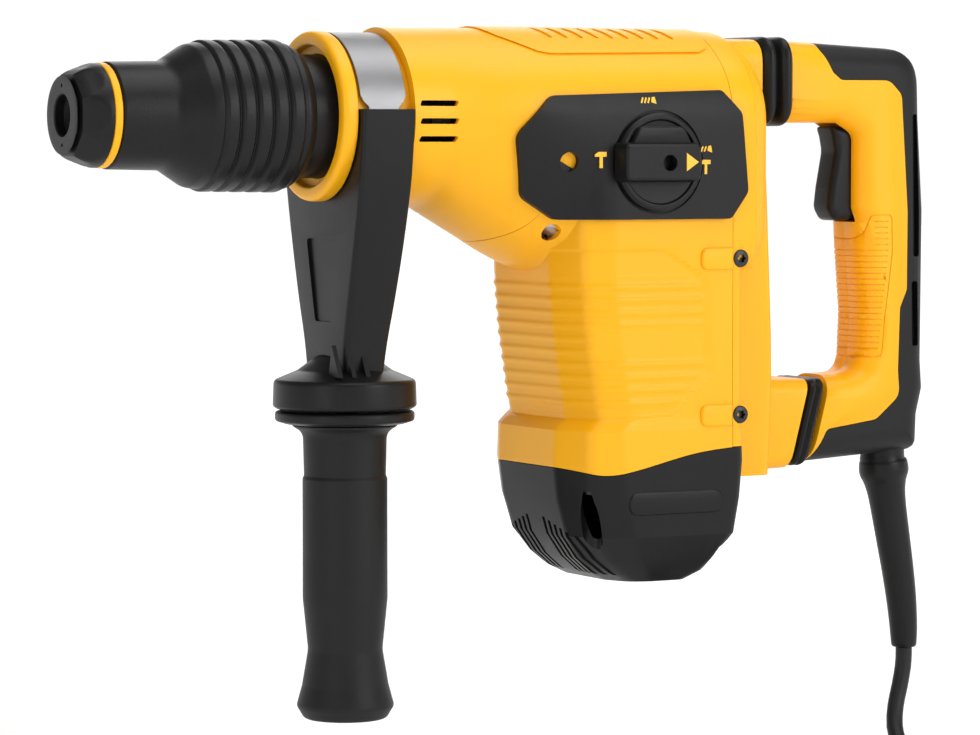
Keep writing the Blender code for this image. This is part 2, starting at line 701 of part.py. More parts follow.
def make_rear_cover():
    cover = body_volume(0.0)
    cover.name = "rear_cover"
    stub = rounded([(24, -2, 8), (24, 37.5, 12), (-24, 37.5, 12), (-24, -2, 8)])
    points, faces = loft([[(x, y, z) for y, z in stub] for x in (322.0, 350.7)])
    foot = pillow("foot", [
        (300, -105, 1), (351, -112, 6), (357, -126.0, 6), (400.0, -127.0, 1), (400.0, -168.2, 1),
        (340, -170.8, 4), (300, -170.8, 1),
    ], 20.0, 7.0)
    keep(foot, slab("before_gaiter", slant(-14.0), -40, 40))
    join(cover, solid("stub", points, faces), rear_spine(), foot)
    cut(cover, box("front", (100, -90, -240), (COVER_X + GAP, 90, 80)))
    cut(cover, box("below_cap", (300, -90, -240), (326.5, 90, -154.9)))
    cut(cover, upper_volume(WALL))
    cut(cover, box("motor_room", (310, -46.5, -150), (321.8, 46.5, -40)))
    cut(cover, box("spine_room", (310, -28, -150), (345, 28, -40)))
    cut(cover, box("foot_room", (340, -15, -163), (366, 15, -132)))
    cut(cover, rod("spring_room", "X", (0, 0, 17.5), 326.0, 360.0, 11.5, segments=20))


# ---------------------------------------------------------------- rear handle
def handle_corners():
    """XZ corners of the rear handle with its finger gap, running on past both of its joints."""
    return [
        (350.0, 38.4, 2), (449.3, 33.4, 23), (450.2, 0.0, 30), (453.0, -45.0, 30), (452.4, -119.0, 8),
        (453.4, -133.0, 7), (450.2, -146.0, 6), (449.5, -163.6, 6), (404.0, -166.3, 20), (350.0, -169.5, 1),
        (350.0, -126.6, 1), (415.4, -124.6, 11), (416.6, -95.0, 20), (414.2, -66.0, 8), (413.4, -50.0, 6),
        (411.0, -44.0, 4), (411.0, -8.0, 6), (401.0, -2.3, 6), (350.0, -2.3, 2),
    ]


def yellow_corners():
    """XZ corners of the zone of the hard yellow shells; the soft overmould takes the rest."""
    return [
        (350.0, 60.0, 0), (389.0, 60.0, 0), (389.0, 33.0, 4), (395.0, 22.0, 6), (400.0, 18.3, 4),
        (428.0, 18.4, 8), (435.2, 11.5, 6), (439.0, -46.0, 8), (438.8, -84.0, 4), (434.8, -93.0, 4),
        (433.8, -124.0, 6), (434.8, -136.0, 8), (421.0, -147.4, 8), (392.5, -151.2, 4), (383.4, -168.0, 1),
        (380.0, -190.0, 0), (350.0, -190.0, 0),
    ]


def handle_volume():
    whole = pillow("handle_volume", handle_corners(), 18.0, 7.0)
    behind = [(368.6, 60), (470, 60), (470, -190), (377.7, -190), (398.5, -112), (368.6, -112)]
    return keep(whole, slab("behind_joints", behind, -40, 40))


def handle_rooms():
    return [
        box("trigger_slot", (398.0, -11.5, -50.8), (421.3, 11.5, -2.4)),
        box("switch_room", (421.0, -13.0, -62.0), (434.2, 13.0, 8.0)),
        rod("spring_room", "X", (0, 0, 17.5), 360.0, 378.0, 11.5, segments=20),
        rod("rod_room", "X", (0, 0, 17.5), 370.0, 398.0, 6.2, segments=20),
    ]


def make_handle_shell(name, side):
    shell = handle_volume()
    shell.name = name
    shell.data.materials.clear()
    shell.data.materials.append(material("yellow"))
    keep(shell, slab("yellow_zone", rounded(yellow_corners(), 2), -40, 40))
    low, high = sorted((side * GAP / 2, side * 40.0))
    keep(shell, box("half", (340, low, -200), (470, high, 80)))
    cut(shell, *handle_rooms())


def make_overmould():
    mould = handle_volume()
    mould.name = "grip_overmould"
    mould.data.materials.clear()
    mould.data.materials.append(material("rubber"))
    zone = rounded(shrunk(yellow_corners(), -GAP), 2)
    cut(mould, slab("yellow_zone", zone, -40, 40))
    cut(mould, rod("relief_socket", "Z", (437.0, 0, 0), -180, -151, 11.2, segments=24))


def make_trigger():
    corners = [
        (404.8, -3.9, 2), (414.2, -4.6, 2), (415.6, -22.0, 6), (415.0, -49.6, 3), (404.5, -50.0, 4),
        (400.9, -38.0, 8), (403.6, -18.0, 8),
    ]
    pillow("trigger", corners, 11.0, 2.5, "black", origin=(412.0, 0, -6.0))
    box("power_switch", (421.8, -12.0, -50.0), (433.4, 12.0, 4.0), "black")


def make_bellows():
    rings = []
    sections = [
        (351.0, 22.4, 18.6), (353.0, 26.6, 21.6), (356.4, 26.6, 21.6), (358.8, 23.4, 19.2),
        (360.4, 23.4, 19.2), (362.8, 26.4, 21.4), (366.2, 26.4, 21.4), (368.3, 22.4, 18.6),
        (368.3, 14.0, 13.0), (351.0, 14.0, 13.0),
    ]
    for x, w, h in sections:
        corner = 10.0 if w > 15 else 5.0
        corners = [(w, -h, corner), (w, h, corner), (-w, h, corner), (-w, -h, corner)]
        rings.append([(x, y, 17.4 + z) for y, z in rounded(corners)])
    points, faces = loft(rings, closed=True)
    solid("upper_bellows", points, faces, "rubber", (359.6, 0, 17.4))

    rings = []
    for shift, inward in ((0.3, 1.0), (1.6, 0.0), (6.4, 0.0), (7.9, 1.0), (7.9, 6.0), (0.3, 6.0)):
        w, low, high = 19.6 - inward, -168.2 + inward, -126.8 - inward
        corner = 7.0 - inward
        corners = [(w, low, corner), (w, high, corner), (-w, high, corner), (-w, low, corner)]
        rings.append([(383.0 + shift + 0.266 * (z + 126.8), y, z) for y, z in rounded(corners)])
    points, faces = loft(rings, closed=True)
    solid("lower_gaiter", points, faces, "rubber", (381.0, 0, -147.0))
    coil_spring("damper_spring", "X", (0, 0, 17.5), 338.5, 377.6, 8.6, 1.5, 5)
    rod("damper_rod", "X", (0, 0, 17.5), 320.0, 386.0, 5.5, "steel", 16)


# ---------------------------------------------------------------- side handle
def band_point(angle, radius):
    return (radius * math.cos(angle), radius * math.sin(angle))


def band_path(radius):
    """(y, z, narrow) round the neck, then straight down and inwards to the clamp nut."""
    tilt = math.radians(-30)
    path = []
    y, z = band_point(tilt, radius)
    tail = 33.0
    path.append((y - tail * math.sin(-tilt), z - tail * math.cos(tilt), 1))
    path.append((y, z, 1))
    for degrees in (-14, 0, 8):
        path.append((*band_point(math.radians(degrees), radius), 1))
    for degrees in (14, 30, 46, 62, 78, 90):
        path.append((*band_point(math.radians(degrees), radius), 0))
    return path + [(-y, z, narrow) for y, z, narrow in reversed(path[:-1])]


def make_clamp_band():
    inner, outer = band_path(NECK_R + 1.0), band_path(NECK_R + 2.5)
    rings = []
    for (y0, z0, narrow), (y1, z1, _) in zip(inner, outer):
        half = 7.6 if narrow else 11.6
        middle = 140.4
        front, back = middle - half, middle + half
        rings.append([(front, y0, z0), (back, y0, z0), (back, y1, z1), (front, y1, z1)])
    points, faces = loft(rings)
    solid("clamp_band", points, faces, "steel", (140.4, 0, 0))


def make_yoke():
    rings = []
    for z, front, back, w, r in (
        (3.0, 127.9, 154.6, 42.0, 2.0), (-16.0, 128.0, 154.4, 40.4, 2.0), (-33.0, 128.0, 154.2, 38.0, 2.4),
        (-60.0, 128.0, 153.4, 32.4, 3.0), (-84.0, 128.2, 152.2, 26.6, 3.4), (-103.0, 128.6, 151.0, 22.0, 3.6),
        (-120.0, 129.0, 149.8, 20.4, 4.0),
    ):
        corners = [(front, -w, r), (back, -w, r), (back, w, r), (front, w, r)]
        rings.append([(x, y, z) for x, y in rounded(corners, 2)])
    points, faces = loft(rings)
    yoke = solid("handle_yoke", points, faces, "black", (SIDE_X, 0, 0))
    flange = turned("flange", "Z", (SIDE_X, 0, 0), [
        (-110.0, 0), (-110.0, 12.0), (-116.0, 21.5), (-119.0, 27.0), (-123.5, 33.4), (-132.0, 33.6),
        (-134.0, 31.6), (-134.0, 0),
    ], "black")
    join(yoke, flange)
    cut(yoke, rod("neck_room", "X", (0, 0, 0), 120, 165, NECK_R + 0.4, segments=36))
    pocket = [
        (40.0, 10.0), (40.0, -4.0), (36.0, -20.0), (18.5, -58.0), (-18.5, -58.0), (-36.0, -20.0),
        (-40.0, -4.0), (-40.0, 10.0),
    ]
    points, faces = loft([[(x, y, z) for y, z in pocket] for x in (132.4, 148.4)])
    cut(yoke, solid("band_room", points, faces))
    cut(yoke, rod("rod_hole", "Z", (SIDE_X, 0, 0), -150, -40, 4.4, segments=16))


def make_side_grip():
    nut = box("clamp_nut", (133.2, -10.0, -57.4), (147.6, 10.0, -50.2), "steel")
    cut(nut, rod("nut_hole", "Z", (SIDE_X, 0, 0), -90, -40, 4.3, segments=16))
    rod("clamp_rod", "Z", (SIDE_X, 0, 0), -235.0, -48.0, 4.0, "steel", 16)
    turned("clamp_disc", "Z", (SIDE_X, 0, 0), [
        (-134.9, 4.3), (-134.9, 29.0), (-136.0, 31.6), (-138.6, 32.2), (-140.6, 30.2), (-141.0, 26.0),
        (-141.0, 4.3),
    ], "rubber")
    make_grip_body()


def make_grip_body():
    grip = turned("side_grip", "Z", (SIDE_X, 0, 0), [
        (-141.3, 0), (-141.3, 24.0), (-144.0, 20.8), (-148.5, 18.8), (-165.5, 18.8), (-166.3, 19.5),
        (-222.0, 19.5), (-236.0, 18.0), (-246.0, 17.3), (-258.0, 19.2), (-270.0, 22.2), (-274.5, 21.2),
        (-277.6, 16.0), (-277.6, 0.0),
    ], "rubber")
    return cut(grip, rod("rod_hole", "Z", (SIDE_X, 0, 0), -236.0, -130.0, 4.3, segments=16))


# ---------------------------------------------------------------- cord
def relief_axis(t):
    """The strain relief's middle line, from the handle (t = 0) down to the cord (t = 1)."""
    bend = 3 * t * t - 2 * t ** 3
    return Vector((436.5 + 14.0 * bend, 0.0, -152.0 - 111.0 * t))


def make_strain_relief():
    rings = []
    steps = [(0.0, 10.8), (0.13, 10.8), (0.2, 12.2), (0.26, 10.2), (0.5, 8.6), (0.77, 7.5), (1.0, 6.2)]
    for t, radius in steps:
        middle = relief_axis(t)
        ahead = (relief_axis(t + 0.01) - relief_axis(t)).normalized()
        if t < 0.16:
            middle = Vector((437.0, 0.0, middle.z))
            ahead = Vector((0, 0, -1))
        side = Vector((0, 1, 0))
        out = side.cross(ahead)
        ring = []
        for k in range(20):
            a = 2 * math.pi * k / 20
            ring.append(tuple(middle + side * radius * math.cos(a) + out * radius * math.sin(a)))
        rings.append(ring)
    points, faces = loft(rings)
    solid("strain_relief", points, faces, "rubber", (437.0, 0, -152.0))


def cord_route():
    """Chosen points of the hanging stretch, from the strain relief down onto the coil."""
    end = relief_axis(1.0)
    return [
        (end.x, 0.0, end.z - 0.8), (end.x, 0.0, end.z - 4.0), (450.1, 0.0, -273.0),
        (447.8, -0.6, -282.5), (444.2, -2.4, -292.0), (440.6, -7.0, -302.0),
        (438.6, -15.0, -310.0), (437.6, -26.0, -314.4), (437.0, -36.0, -315.0),
    ]


def smooth_points(route, spacing):
    """Points about this far apart on the smooth curve through the route."""
    ends = [Vector(p) for p in route]
    padded = [2 * ends[0] - ends[1]] + ends + [2 * ends[-1] - ends[-2]]
    fine = []
    for i in range(1, len(padded) - 2):
        a, b, c, d = padded[i - 1:i + 3]
        for k in range(20):
            t = k / 20
            fine.append(0.5 * (
                2 * b + (c - a) * t + (2 * a - 5 * b + 4 * c - d) * t ** 2
                + (3 * b - a - 3 * c + d) * t ** 3
            ))
    fine.append(ends[-1])
    total = sum((q - p).length for p, q in zip(fine, fine[1:]))
    count = max(2, round(total / spacing))
    wanted, run, kept = total / count, 0.0, [fine[0]]
    for p, q in zip(fine, fine[1:]):
        run += (q - p).length
        if run >= wanted * len(kept) and len(kept) < count:
            kept.append(q)
    return kept + [fine[-1]]


def cord_tube(name, route):
    curve = bpy.data.curves.new(name, "CURVE")
    curve.dimensions = "3D"
    curve.bevel_depth = CORD_R * MM
    curve.bevel_resolution = 3
    curve.use_fill_caps = True
    places = [world(p) for p in smooth_points(route, 2.2 * 2 * CORD_R)]
    line = curve.splines.new("POLY")
    line.points.add(len(places) - 1)
    for point, place in zip(line.points, places):
        point.co = (*place, 1.0)
    curve.materials.append(material("rubber"))
    piece = bpy.data.objects.new(name, curve)
    bpy.context.scene.collection.objects.link(piece)


def make_cord():
    make_strain_relief()
    cord_tube("power_cord", cord_route())
    x, y, inner, outer, height = COIL
    low, high = FLOOR_Z, FLOOR_Z + height
    edge = 3.0
    turned("cord_coil", "Z", (x, y, 0), [
        (low, inner + edge), (low + edge, inner), (high - edge, inner), (high, inner + edge),
        (high, outer - edge), (high - edge, outer), (low + edge, outer), (low, outer - edge),
    ], "rubber", 24)
    at = (x - outer + CORD_R, y + 33.4, FLOOR_Z + 11.0)
    plug = turned("mains_plug", "Y", at, [
        (0, 0), (0, 5.2), (14.0, 6.4), (16.0, 9.0), (20.0, 10.8), (40.0, 10.8), (44.0, 9.6), (44.0, 0),
    ], "black", 20)
    for side in (-1, 1):
        join(plug, rod("pin", "Y", (at[0] + side * 5.0, at[1], at[2]), 42.0, 62.0, 2.0, segments=10))


def main():
    for old in list(bpy.data.objects):
        bpy.data.objects.remove(old)
    make_nose()
    make_striking_train()
    make_gear_train()
    make_motor()
    make_bearings()
    make_gear_housing()
    make_vent_cover()
    make_selector()
    make_motor_housing()
    make_motor_cap()
    make_gearbox_plate()
    make_rear_cover()
    make_handle_shell("handle_left_shell", -1)
    make_handle_shell("handle_right_shell", 1)
    make_overmould()
    make_trigger()
    make_bellows()
    make_clamp_band()
    make_yoke()
    make_side_grip()
    make_cord()


main()
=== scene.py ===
"""Looks for the combination hammer: finer shells, rubber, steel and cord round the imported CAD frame.

Sizes are millimetres in the tool's own frame, as in the CAD: x runs back from the nose's front
face, y across (the selector side is -y) and z up from the hammer axis.
"""

import json
import math

import bmesh
import bpy
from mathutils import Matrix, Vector

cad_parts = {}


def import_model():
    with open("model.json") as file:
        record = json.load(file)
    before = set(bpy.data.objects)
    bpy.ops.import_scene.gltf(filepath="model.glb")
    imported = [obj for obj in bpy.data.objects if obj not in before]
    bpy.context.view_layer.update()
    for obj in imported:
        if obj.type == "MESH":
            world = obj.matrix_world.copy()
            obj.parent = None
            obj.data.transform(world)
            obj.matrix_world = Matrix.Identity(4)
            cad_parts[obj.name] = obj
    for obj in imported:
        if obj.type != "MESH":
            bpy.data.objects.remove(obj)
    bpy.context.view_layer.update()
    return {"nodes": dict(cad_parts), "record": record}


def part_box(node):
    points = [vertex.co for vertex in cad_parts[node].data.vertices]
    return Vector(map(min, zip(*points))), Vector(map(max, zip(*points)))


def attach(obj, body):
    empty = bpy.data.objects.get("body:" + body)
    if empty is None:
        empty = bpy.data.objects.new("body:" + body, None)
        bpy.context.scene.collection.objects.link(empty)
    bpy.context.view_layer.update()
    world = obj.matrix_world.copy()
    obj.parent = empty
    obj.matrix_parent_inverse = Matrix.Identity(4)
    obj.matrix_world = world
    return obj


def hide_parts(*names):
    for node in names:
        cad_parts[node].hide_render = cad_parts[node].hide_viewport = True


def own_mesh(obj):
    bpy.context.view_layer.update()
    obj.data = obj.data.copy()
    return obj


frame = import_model()

# ---------------- driving dimensions
MM = 0.001
GRIP_X, GRIP_Z = 432, -62     # the frame's origin, in tool millimetres
GAP = 0.3
NECK_FRONT, NECK_R = 127.5, 36
FRONT_R = 41
BODY_W = 50
WALL = 3.2
KNOB_X, KNOB_Z = 275.5, -21
HANDLE_EDGE = 12                # how far the handle's sides curve in towards its faces
SIDE_X = 139.3
COVER_X = 318
CORD_R = 4.1
FLOOR_Z = -345
COIL_X, COIL_Y, COIL_INNER, COIL_OUTER = 389, -45, 29, 63
COIL_PITCH, COIL_LIFT, COIL_STEP = 8.28, 8.25, math.radians(9)
CORD_Z = FLOOR_Z + CORD_R + 0.1   # the cord's middle where it lies on the floor

CAMERA_AZIMUTH, CAMERA_ELEVATION, CAMERA_DISTANCE = -28.5, 3.2, 1.877
CAMERA_TARGET = (215.4, 0, -117.4)
CAMERA_LENS = 146.9

YELLOW = (0.93, 0.43, 0.003)
BLACK = (0.008, 0.008, 0.0085)


def world(point):
    x, y, z = point
    return Vector(((x - GRIP_X) * MM, y * MM, (z - GRIP_Z) * MM))


# ---------------- materials
def node_of(tree, kind, **values):
    node = tree.nodes.new(kind)
    for key, value in values.items():
        node.inputs[key.replace("_", " ")].default_value = value
    return node


def ranged(tree, source, from_min, from_max, to_min, to_max):
    """A Map Range node fed from the given output."""
    node = node_of(tree, "ShaderNodeMapRange", From_Min=from_min, From_Max=from_max, To_Min=to_min,
                   To_Max=to_max)
    tree.links.new(source, node.inputs["Value"])
    return node


def surface(name, colour, roughness, metallic=0, grain=900, depth=0.05, spread=0.08, tint=0.06,
            stretch=(1, 1, 1), gloss=0.5):
    """Principled material with fine grain bump, uneven roughness and a slight drift of colour."""
    made = bpy.data.materials.new(name)
    made.use_nodes = True
    tree = made.node_tree
    shader = tree.nodes["Principled BSDF"]
    shader.inputs["Metallic"].default_value = metallic
    shader.inputs["Specular IOR Level"].default_value = gloss
    place = tree.nodes.new("ShaderNodeTexCoord")
    scaled = tree.nodes.new("ShaderNodeMapping")
    scaled.inputs["Scale"].default_value = stretch
    tree.links.new(place.outputs["Object"], scaled.inputs["Vector"])

    fine = node_of(tree, "ShaderNodeTexNoise", Scale=grain, Detail=4)
    tree.links.new(scaled.outputs["Vector"], fine.inputs["Vector"])
    bump = node_of(tree, "ShaderNodeBump", Strength=depth, Distance=0.0004)
    tree.links.new(fine.outputs["Fac"], bump.inputs["Height"])
    tree.links.new(bump.outputs["Normal"], shader.inputs["Normal"])

    broad = node_of(tree, "ShaderNodeTexNoise", Scale=38, Detail=5, Roughness=0.6)
    tree.links.new(place.outputs["Object"], broad.inputs["Vector"])
    low, high = max(0.02, roughness - spread), min(1, roughness + spread)
    rough = ranged(tree, broad.outputs["Fac"], 0, 1, low, high)
    tree.links.new(rough.outputs["Result"], shader.inputs["Roughness"])

    mix = tree.nodes.new("ShaderNodeMix")
    mix.data_type = "RGBA"
    mix.inputs["A"].default_value = (*[c * (1 - tint) for c in colour], 1)
    mix.inputs["B"].default_value = (*[min(1, c * (1 + tint)) for c in colour], 1)
    tree.links.new(broad.outputs["Fac"], mix.inputs["Factor"])
    tree.links.new(mix.outputs["Result"], shader.inputs["Base Color"])
    return made


LOOKS = {
    "yellow_plastic": surface("yellow moulded plastic", YELLOW, 0.40, depth=0.10, grain=1400,
                              tint=0.03, gloss=0.3),
    "black_plastic": surface("black moulded plastic", BLACK, 0.36, depth=0.14, grain=1100, tint=0.15,
                             gloss=0.2),
    "selector_grey": surface("dark grey plastic", (0.008, 0.008, 0.0085), 0.42, depth=0.16, grain=1200,
                             tint=0.12, gloss=0.22),
    "black_rubber": surface("black rubber", (0.007, 0.007, 0.007), 0.4, depth=0.22, grain=800,
                            tint=0.2, gloss=0.22),
    "soft_grip": surface("soft grip rubber", (0.009, 0.009, 0.009), 0.5, depth=0.3, grain=1500,
                         tint=0.2, gloss=0.24),
    "bright_steel": surface("brushed steel", (0.25, 0.25, 0.255), 0.42, 1, 260, 0.16, 0.1, 0.1, (1, 14,
                            14)),
    "dark_steel": surface("dark steel", (0.05, 0.05, 0.052), 0.42, 1, 500, 0.2, 0.12, 0.1),
    "cast_plate": surface("cast alloy", (0.55, 0.56, 0.57), 0.5, 1, 300, 0.35, 0.1, 0.08),
    "copper": surface("wound copper", (0.7, 0.33, 0.16), 0.4, 1, 420, 0.3, 0.1, 0.15, (1, 1, 9)),
    "carbon": surface("pressed carbon", (0.05, 0.05, 0.05), 0.7, 0, 700, 0.3, 0.1, 0.2),
    "yellow_print": surface("yellow print", (0.93, 0.52, 0.03), 0.5, depth=0.05, grain=1500, tint=0.03),
    "cord_jacket": surface("cord jacket", (0.012, 0.012, 0.012), 0.5, depth=0.2, grain=600, tint=0.2,
                           gloss=0.3),
}


# ---------------- making meshes
def shade(piece, degrees=32):
    piece.data.shade_smooth()
    piece.data.set_sharp_from_angle(angle=math.radians(degrees))


def placed(name, data):
    item = bpy.data.objects.new(name, data)
    bpy.context.scene.collection.objects.link(item)
    return item


def solid(name, points, faces):
    mesh = bpy.data.meshes.new(name)
    mesh.from_pydata([world(p) for p in points], [], faces)
    work = bmesh.new()
    work.from_mesh(mesh)
    bmesh.ops.remove_doubles(work, verts=work.verts, dist=1e-6)
    bmesh.ops.recalc_face_normals(work, faces=work.faces)
    bmesh.ops.connect_verts_nonplanar(work, angle_limit=1e-4, faces=work.faces)
    work.to_mesh(mesh)
    work.free()
    piece = placed(name, mesh)
    shade(piece)
    return piece


def combine(piece, tool, operation):
    change = piece.modifiers.new(operation, "BOOLEAN")
    change.operation = operation
    change.object = tool
    change.solver = "EXACT"
    bpy.context.view_layer.update()
    graph = bpy.context.evaluated_depsgraph_get()
    result = bpy.data.meshes.new_from_object(piece.evaluated_get(graph))
    piece.modifiers.remove(change)
    piece.data = result
    shade(piece)
    bpy.data.objects.remove(tool)
    return piece


def cut(piece, *tools):
    for tool in tools:
        combine(piece, tool, "DIFFERENCE")
    return piece


def join(piece, *tools):
    for tool in tools:
        combine(piece, tool, "UNION")
    return piece


def keep(piece, tool):
    return combine(piece, tool, "INTERSECT")


def soften(piece, width, segments=2, degrees=38):
    """Rounds the piece's sharp edges a little."""
    bevel = piece.modifiers.new("soft edges", "BEVEL")
    bevel.width = width * MM
    bevel.segments = segments
    bevel.limit_method = "ANGLE"
    bevel.angle_limit = math.radians(degrees)
    bevel.use_clamp_overlap = True
    bevel.harden_normals = True
    return piece


def show(piece, look, body, *replaced):
    """Gives the finished piece its material, its CAD body and the CAD nodes that it stands for."""
    piece.data.materials.clear()
    piece.data.materials.append(LOOKS[look])
    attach(piece, body)
    if replaced:
        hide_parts(*replaced)
    return piece


def loft(rings, closed=False):
    count = len(rings[0])
    points = [p for ring in rings for p in ring]
    faces = []
    spans = len(rings) if closed else len(rings) - 1
    for i in range(spans):
        a = i * count
        b = ((i + 1) % len(rings)) * count
        for j in range(count):
            k = (j + 1) % count
            faces.append((a + j, a + k, b + k, b + j))
    if not closed:
        faces.append(tuple(range(count)))
        faces.append(tuple(range(len(points) - count, len(points))))
    return points, faces


def oblong(a0, a1, b0, b1, radius):
    return [(a1, b0, radius), (a1, b1, radius), (a0, b1, radius), (a0, b0, radius)]


def lofted(name, rings, closed=False):
    points, faces = loft(rings, closed)
    return solid(name, points, faces)


def turn_angles(count):
    return [2 * math.pi * k / count for k in range(count)]


def turn_point(axis, centre, along, radius, angle):
    c, s = radius * math.cos(angle), radius * math.sin(angle)
    x, y, z = centre
    if axis == "X":
        return (x + along, y + c, z + s)
    if axis == "Y":
        return (x + c, y + along, z + s)
    return (x + c, y + s, z + along)


def turned(name, axis, centre, profile, segments=72):
    """Turns a closed profile of (along, radius); a solid part's profile touches radius 0."""
    rings = []
    for along, radius in profile:
        radius = max(radius, 1e-4)
        rings.append([turn_point(axis, centre, along, radius, a) for a in turn_angles(segments)])
    return lofted(name, rings, closed=min(r for _, r in profile) > 0)


def rod(name, axis, centre, start, end, radius, segments=48):
    return turned(name, axis, centre, [(start, 0), (start, radius), (end, radius), (end, 0)], segments)


def box(name, low, high):
    (x0, y0, z0), (x1, y1, z1) = low, high
    return lofted(name, [[(x, y0, z0), (x, y1, z0), (x, y1, z1), (x, y0, z1)] for x in (x0, x1)])


def rounded(corners, steps=6):
    outline = []
    count = len(corners)
    for i, (a, b, radius) in enumerate(corners):
        here = Vector((a, b))
        before = Vector(corners[i - 1][:2]) - here
        after = Vector(corners[(i + 1) % count][:2]) - here
        half = before.angle(after) / 2
        reach = min(radius / math.tan(half), 0.49 * before.length, 0.49 * after.length)
        if reach < 1e-5:
            outline.append((a, b))
            continue
        start = here + before.normalized() * reach
        end = here + after.normalized() * reach
        for k in range(steps + 1):
            t = k / steps
            point = start * (1 - t) ** 2 + here * 2 * t * (1 - t) + end * t ** 2
            outline.append((point.x, point.y))
    return outline


def shrunk(corners, distance):
    """The (a, b, radius) corners of the same outline moved inwards by distance."""
    spots = [Vector(c[:2]) for c in corners]
    area = sum(p.cross(q) for p, q in zip(spots, spots[1:] + spots[:1]))
    side = 1 if area > 0 else -1
    moved = []
    for i, here in enumerate(spots):
        before = (here - spots[i - 1]).normalized()
        after = (spots[(i + 1) % len(spots)] - here).normalized()
        normal = Vector((-before.y - after.y, before.x + after.x)).normalized() * side
        share = normal.dot(Vector((-before.y, before.x)) * side)
        place = here + normal * distance / max(0.3, share)
        convex = before.cross(after) * side > 0
        radius = max(corners[i][2] - distance, 0.3) if convex else corners[i][2] + distance
        moved.append((place.x, place.y, radius))
    return moved


def slab(name, outline, y0, y1):
    return lofted(name, [[(x, y, z) for x, z in outline] for y in (y0, y1)])


def cross_slab(name, outline, x0, x1):
    return lofted(name, [[(x, y, z) for y, z in outline] for x in (x0, x1)])


def side_slab(name, outline, side, inner, outer):
    """A slab on one side of the middle: side is -1 or 1."""
    return slab(name, outline, *sorted((side * inner, side * outer)))


def plan_slab(name, outline, z0, z1):
    return lofted(name, [[(x, y, z) for x, y in outline] for z in (z0, z1)])


def pillow(name, corners, half_width, edge, steps=5, middle=0, arc=6):
    """XZ corners extruded to middle +-half_width, both rims rounded to the radius edge."""
    rings = []
    for side in (-1, 1):
        turns = range(steps + 1) if side < 0 else range(steps, -1, -1)
        for k in turns:
            angle = math.pi / 2 * k / steps
            y = middle + side * (half_width - edge * (1 - math.cos(angle)))
            ring = rounded(shrunk(corners, edge * (1 - math.sin(angle))), arc)
            rings.append([(x, y, z) for x, z in ring])
    return lofted(name, rings)


def curve_through(rows, steps):
    """Values on a smooth curve through rows of numbers, steps to each span."""
    rows = [list(r) for r in rows]
    ends = [rows[0]] + rows + [rows[-1]]
    smooth = []
    for i in range(1, len(ends) - 2):
        a, b, c, d = ends[i - 1:i + 3]
        for k in range(steps):
            t = k / steps
            smooth.append([
                q + 0.5 * t * (r - p + t * (2 * p - 5 * q + 4 * r - s + t * (3 * (q - r) + s - p)))
                for p, q, r, s in zip(a, b, c, d)
            ])
    return smooth + [rows[-1]]


def many(name, parts):
    """Several separate closed shells as one mesh."""
    points, faces = [], []
    for more_points, more_faces in parts:
        base = len(points)
        points += more_points
        faces += [tuple(base + i for i in face) for face in more_faces]
    return solid(name, points, faces)


# ---------------- camera, cord, light
def aim(item, place, direction):
    item.location = place
    item.rotation_mode = "QUATERNION"
    item.rotation_quaternion = direction.to_track_quat("-Z", "Y")


def make_camera():
    data = bpy.data.cameras.new("camera")
    data.lens = CAMERA_LENS
    data.sensor_width = 36
    camera = placed("camera", data)
    a, e = math.radians(CAMERA_AZIMUTH), math.radians(CAMERA_ELEVATION)
    back = Vector((math.sin(a) * math.cos(e), -math.cos(a) * math.cos(e), math.sin(e)))
    aim(camera, world(CAMERA_TARGET) + back * CAMERA_DISTANCE, -back)
    bpy.context.scene.camera = camera


def relief_axis(t):
    bend = 3 * t * t - 2 * t ** 3
    return Vector((436.5 + 14 * bend, 0, -152 - 111 * t))


def coil_point(radius, angle, z):
    return (COIL_X + radius * math.cos(angle), COIL_Y + radius * math.sin(angle), z)


def coil_points(angle):
    """Three flat layers wound clockwise, the top one from the inside out, ending outside below."""
    points = []
    inner, outer = COIL_INNER + CORD_R, COIL_OUTER - CORD_R
    turns = (outer - inner) / COIL_PITCH
    per_layer = round(2 * math.pi * turns / COIL_STEP)
    for layer in (2, 1, 0):
        outward = layer != 1
        z = CORD_Z + layer * COIL_LIFT
        for k in range(per_layer):
            share = k / per_layer
            radius = inner + (outer - inner) * (share if outward else 1 - share)
            drop = max(0, 1 - k * COIL_STEP / math.radians(40)) * COIL_LIFT if layer < 2 else 0
            points.append(coil_point(radius, angle, z + drop))
            angle -= COIL_STEP
    return points, angle


def plug_start():
    """Where the plug's cord end is, in tool millimetres."""
    low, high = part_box("mains_plug")
    x = (low[0] + high[0]) / 2 / MM + GRIP_X
    z = (low[2] + high[2]) / 2 / MM + GRIP_Z
    return (x, low[1] / MM, z)


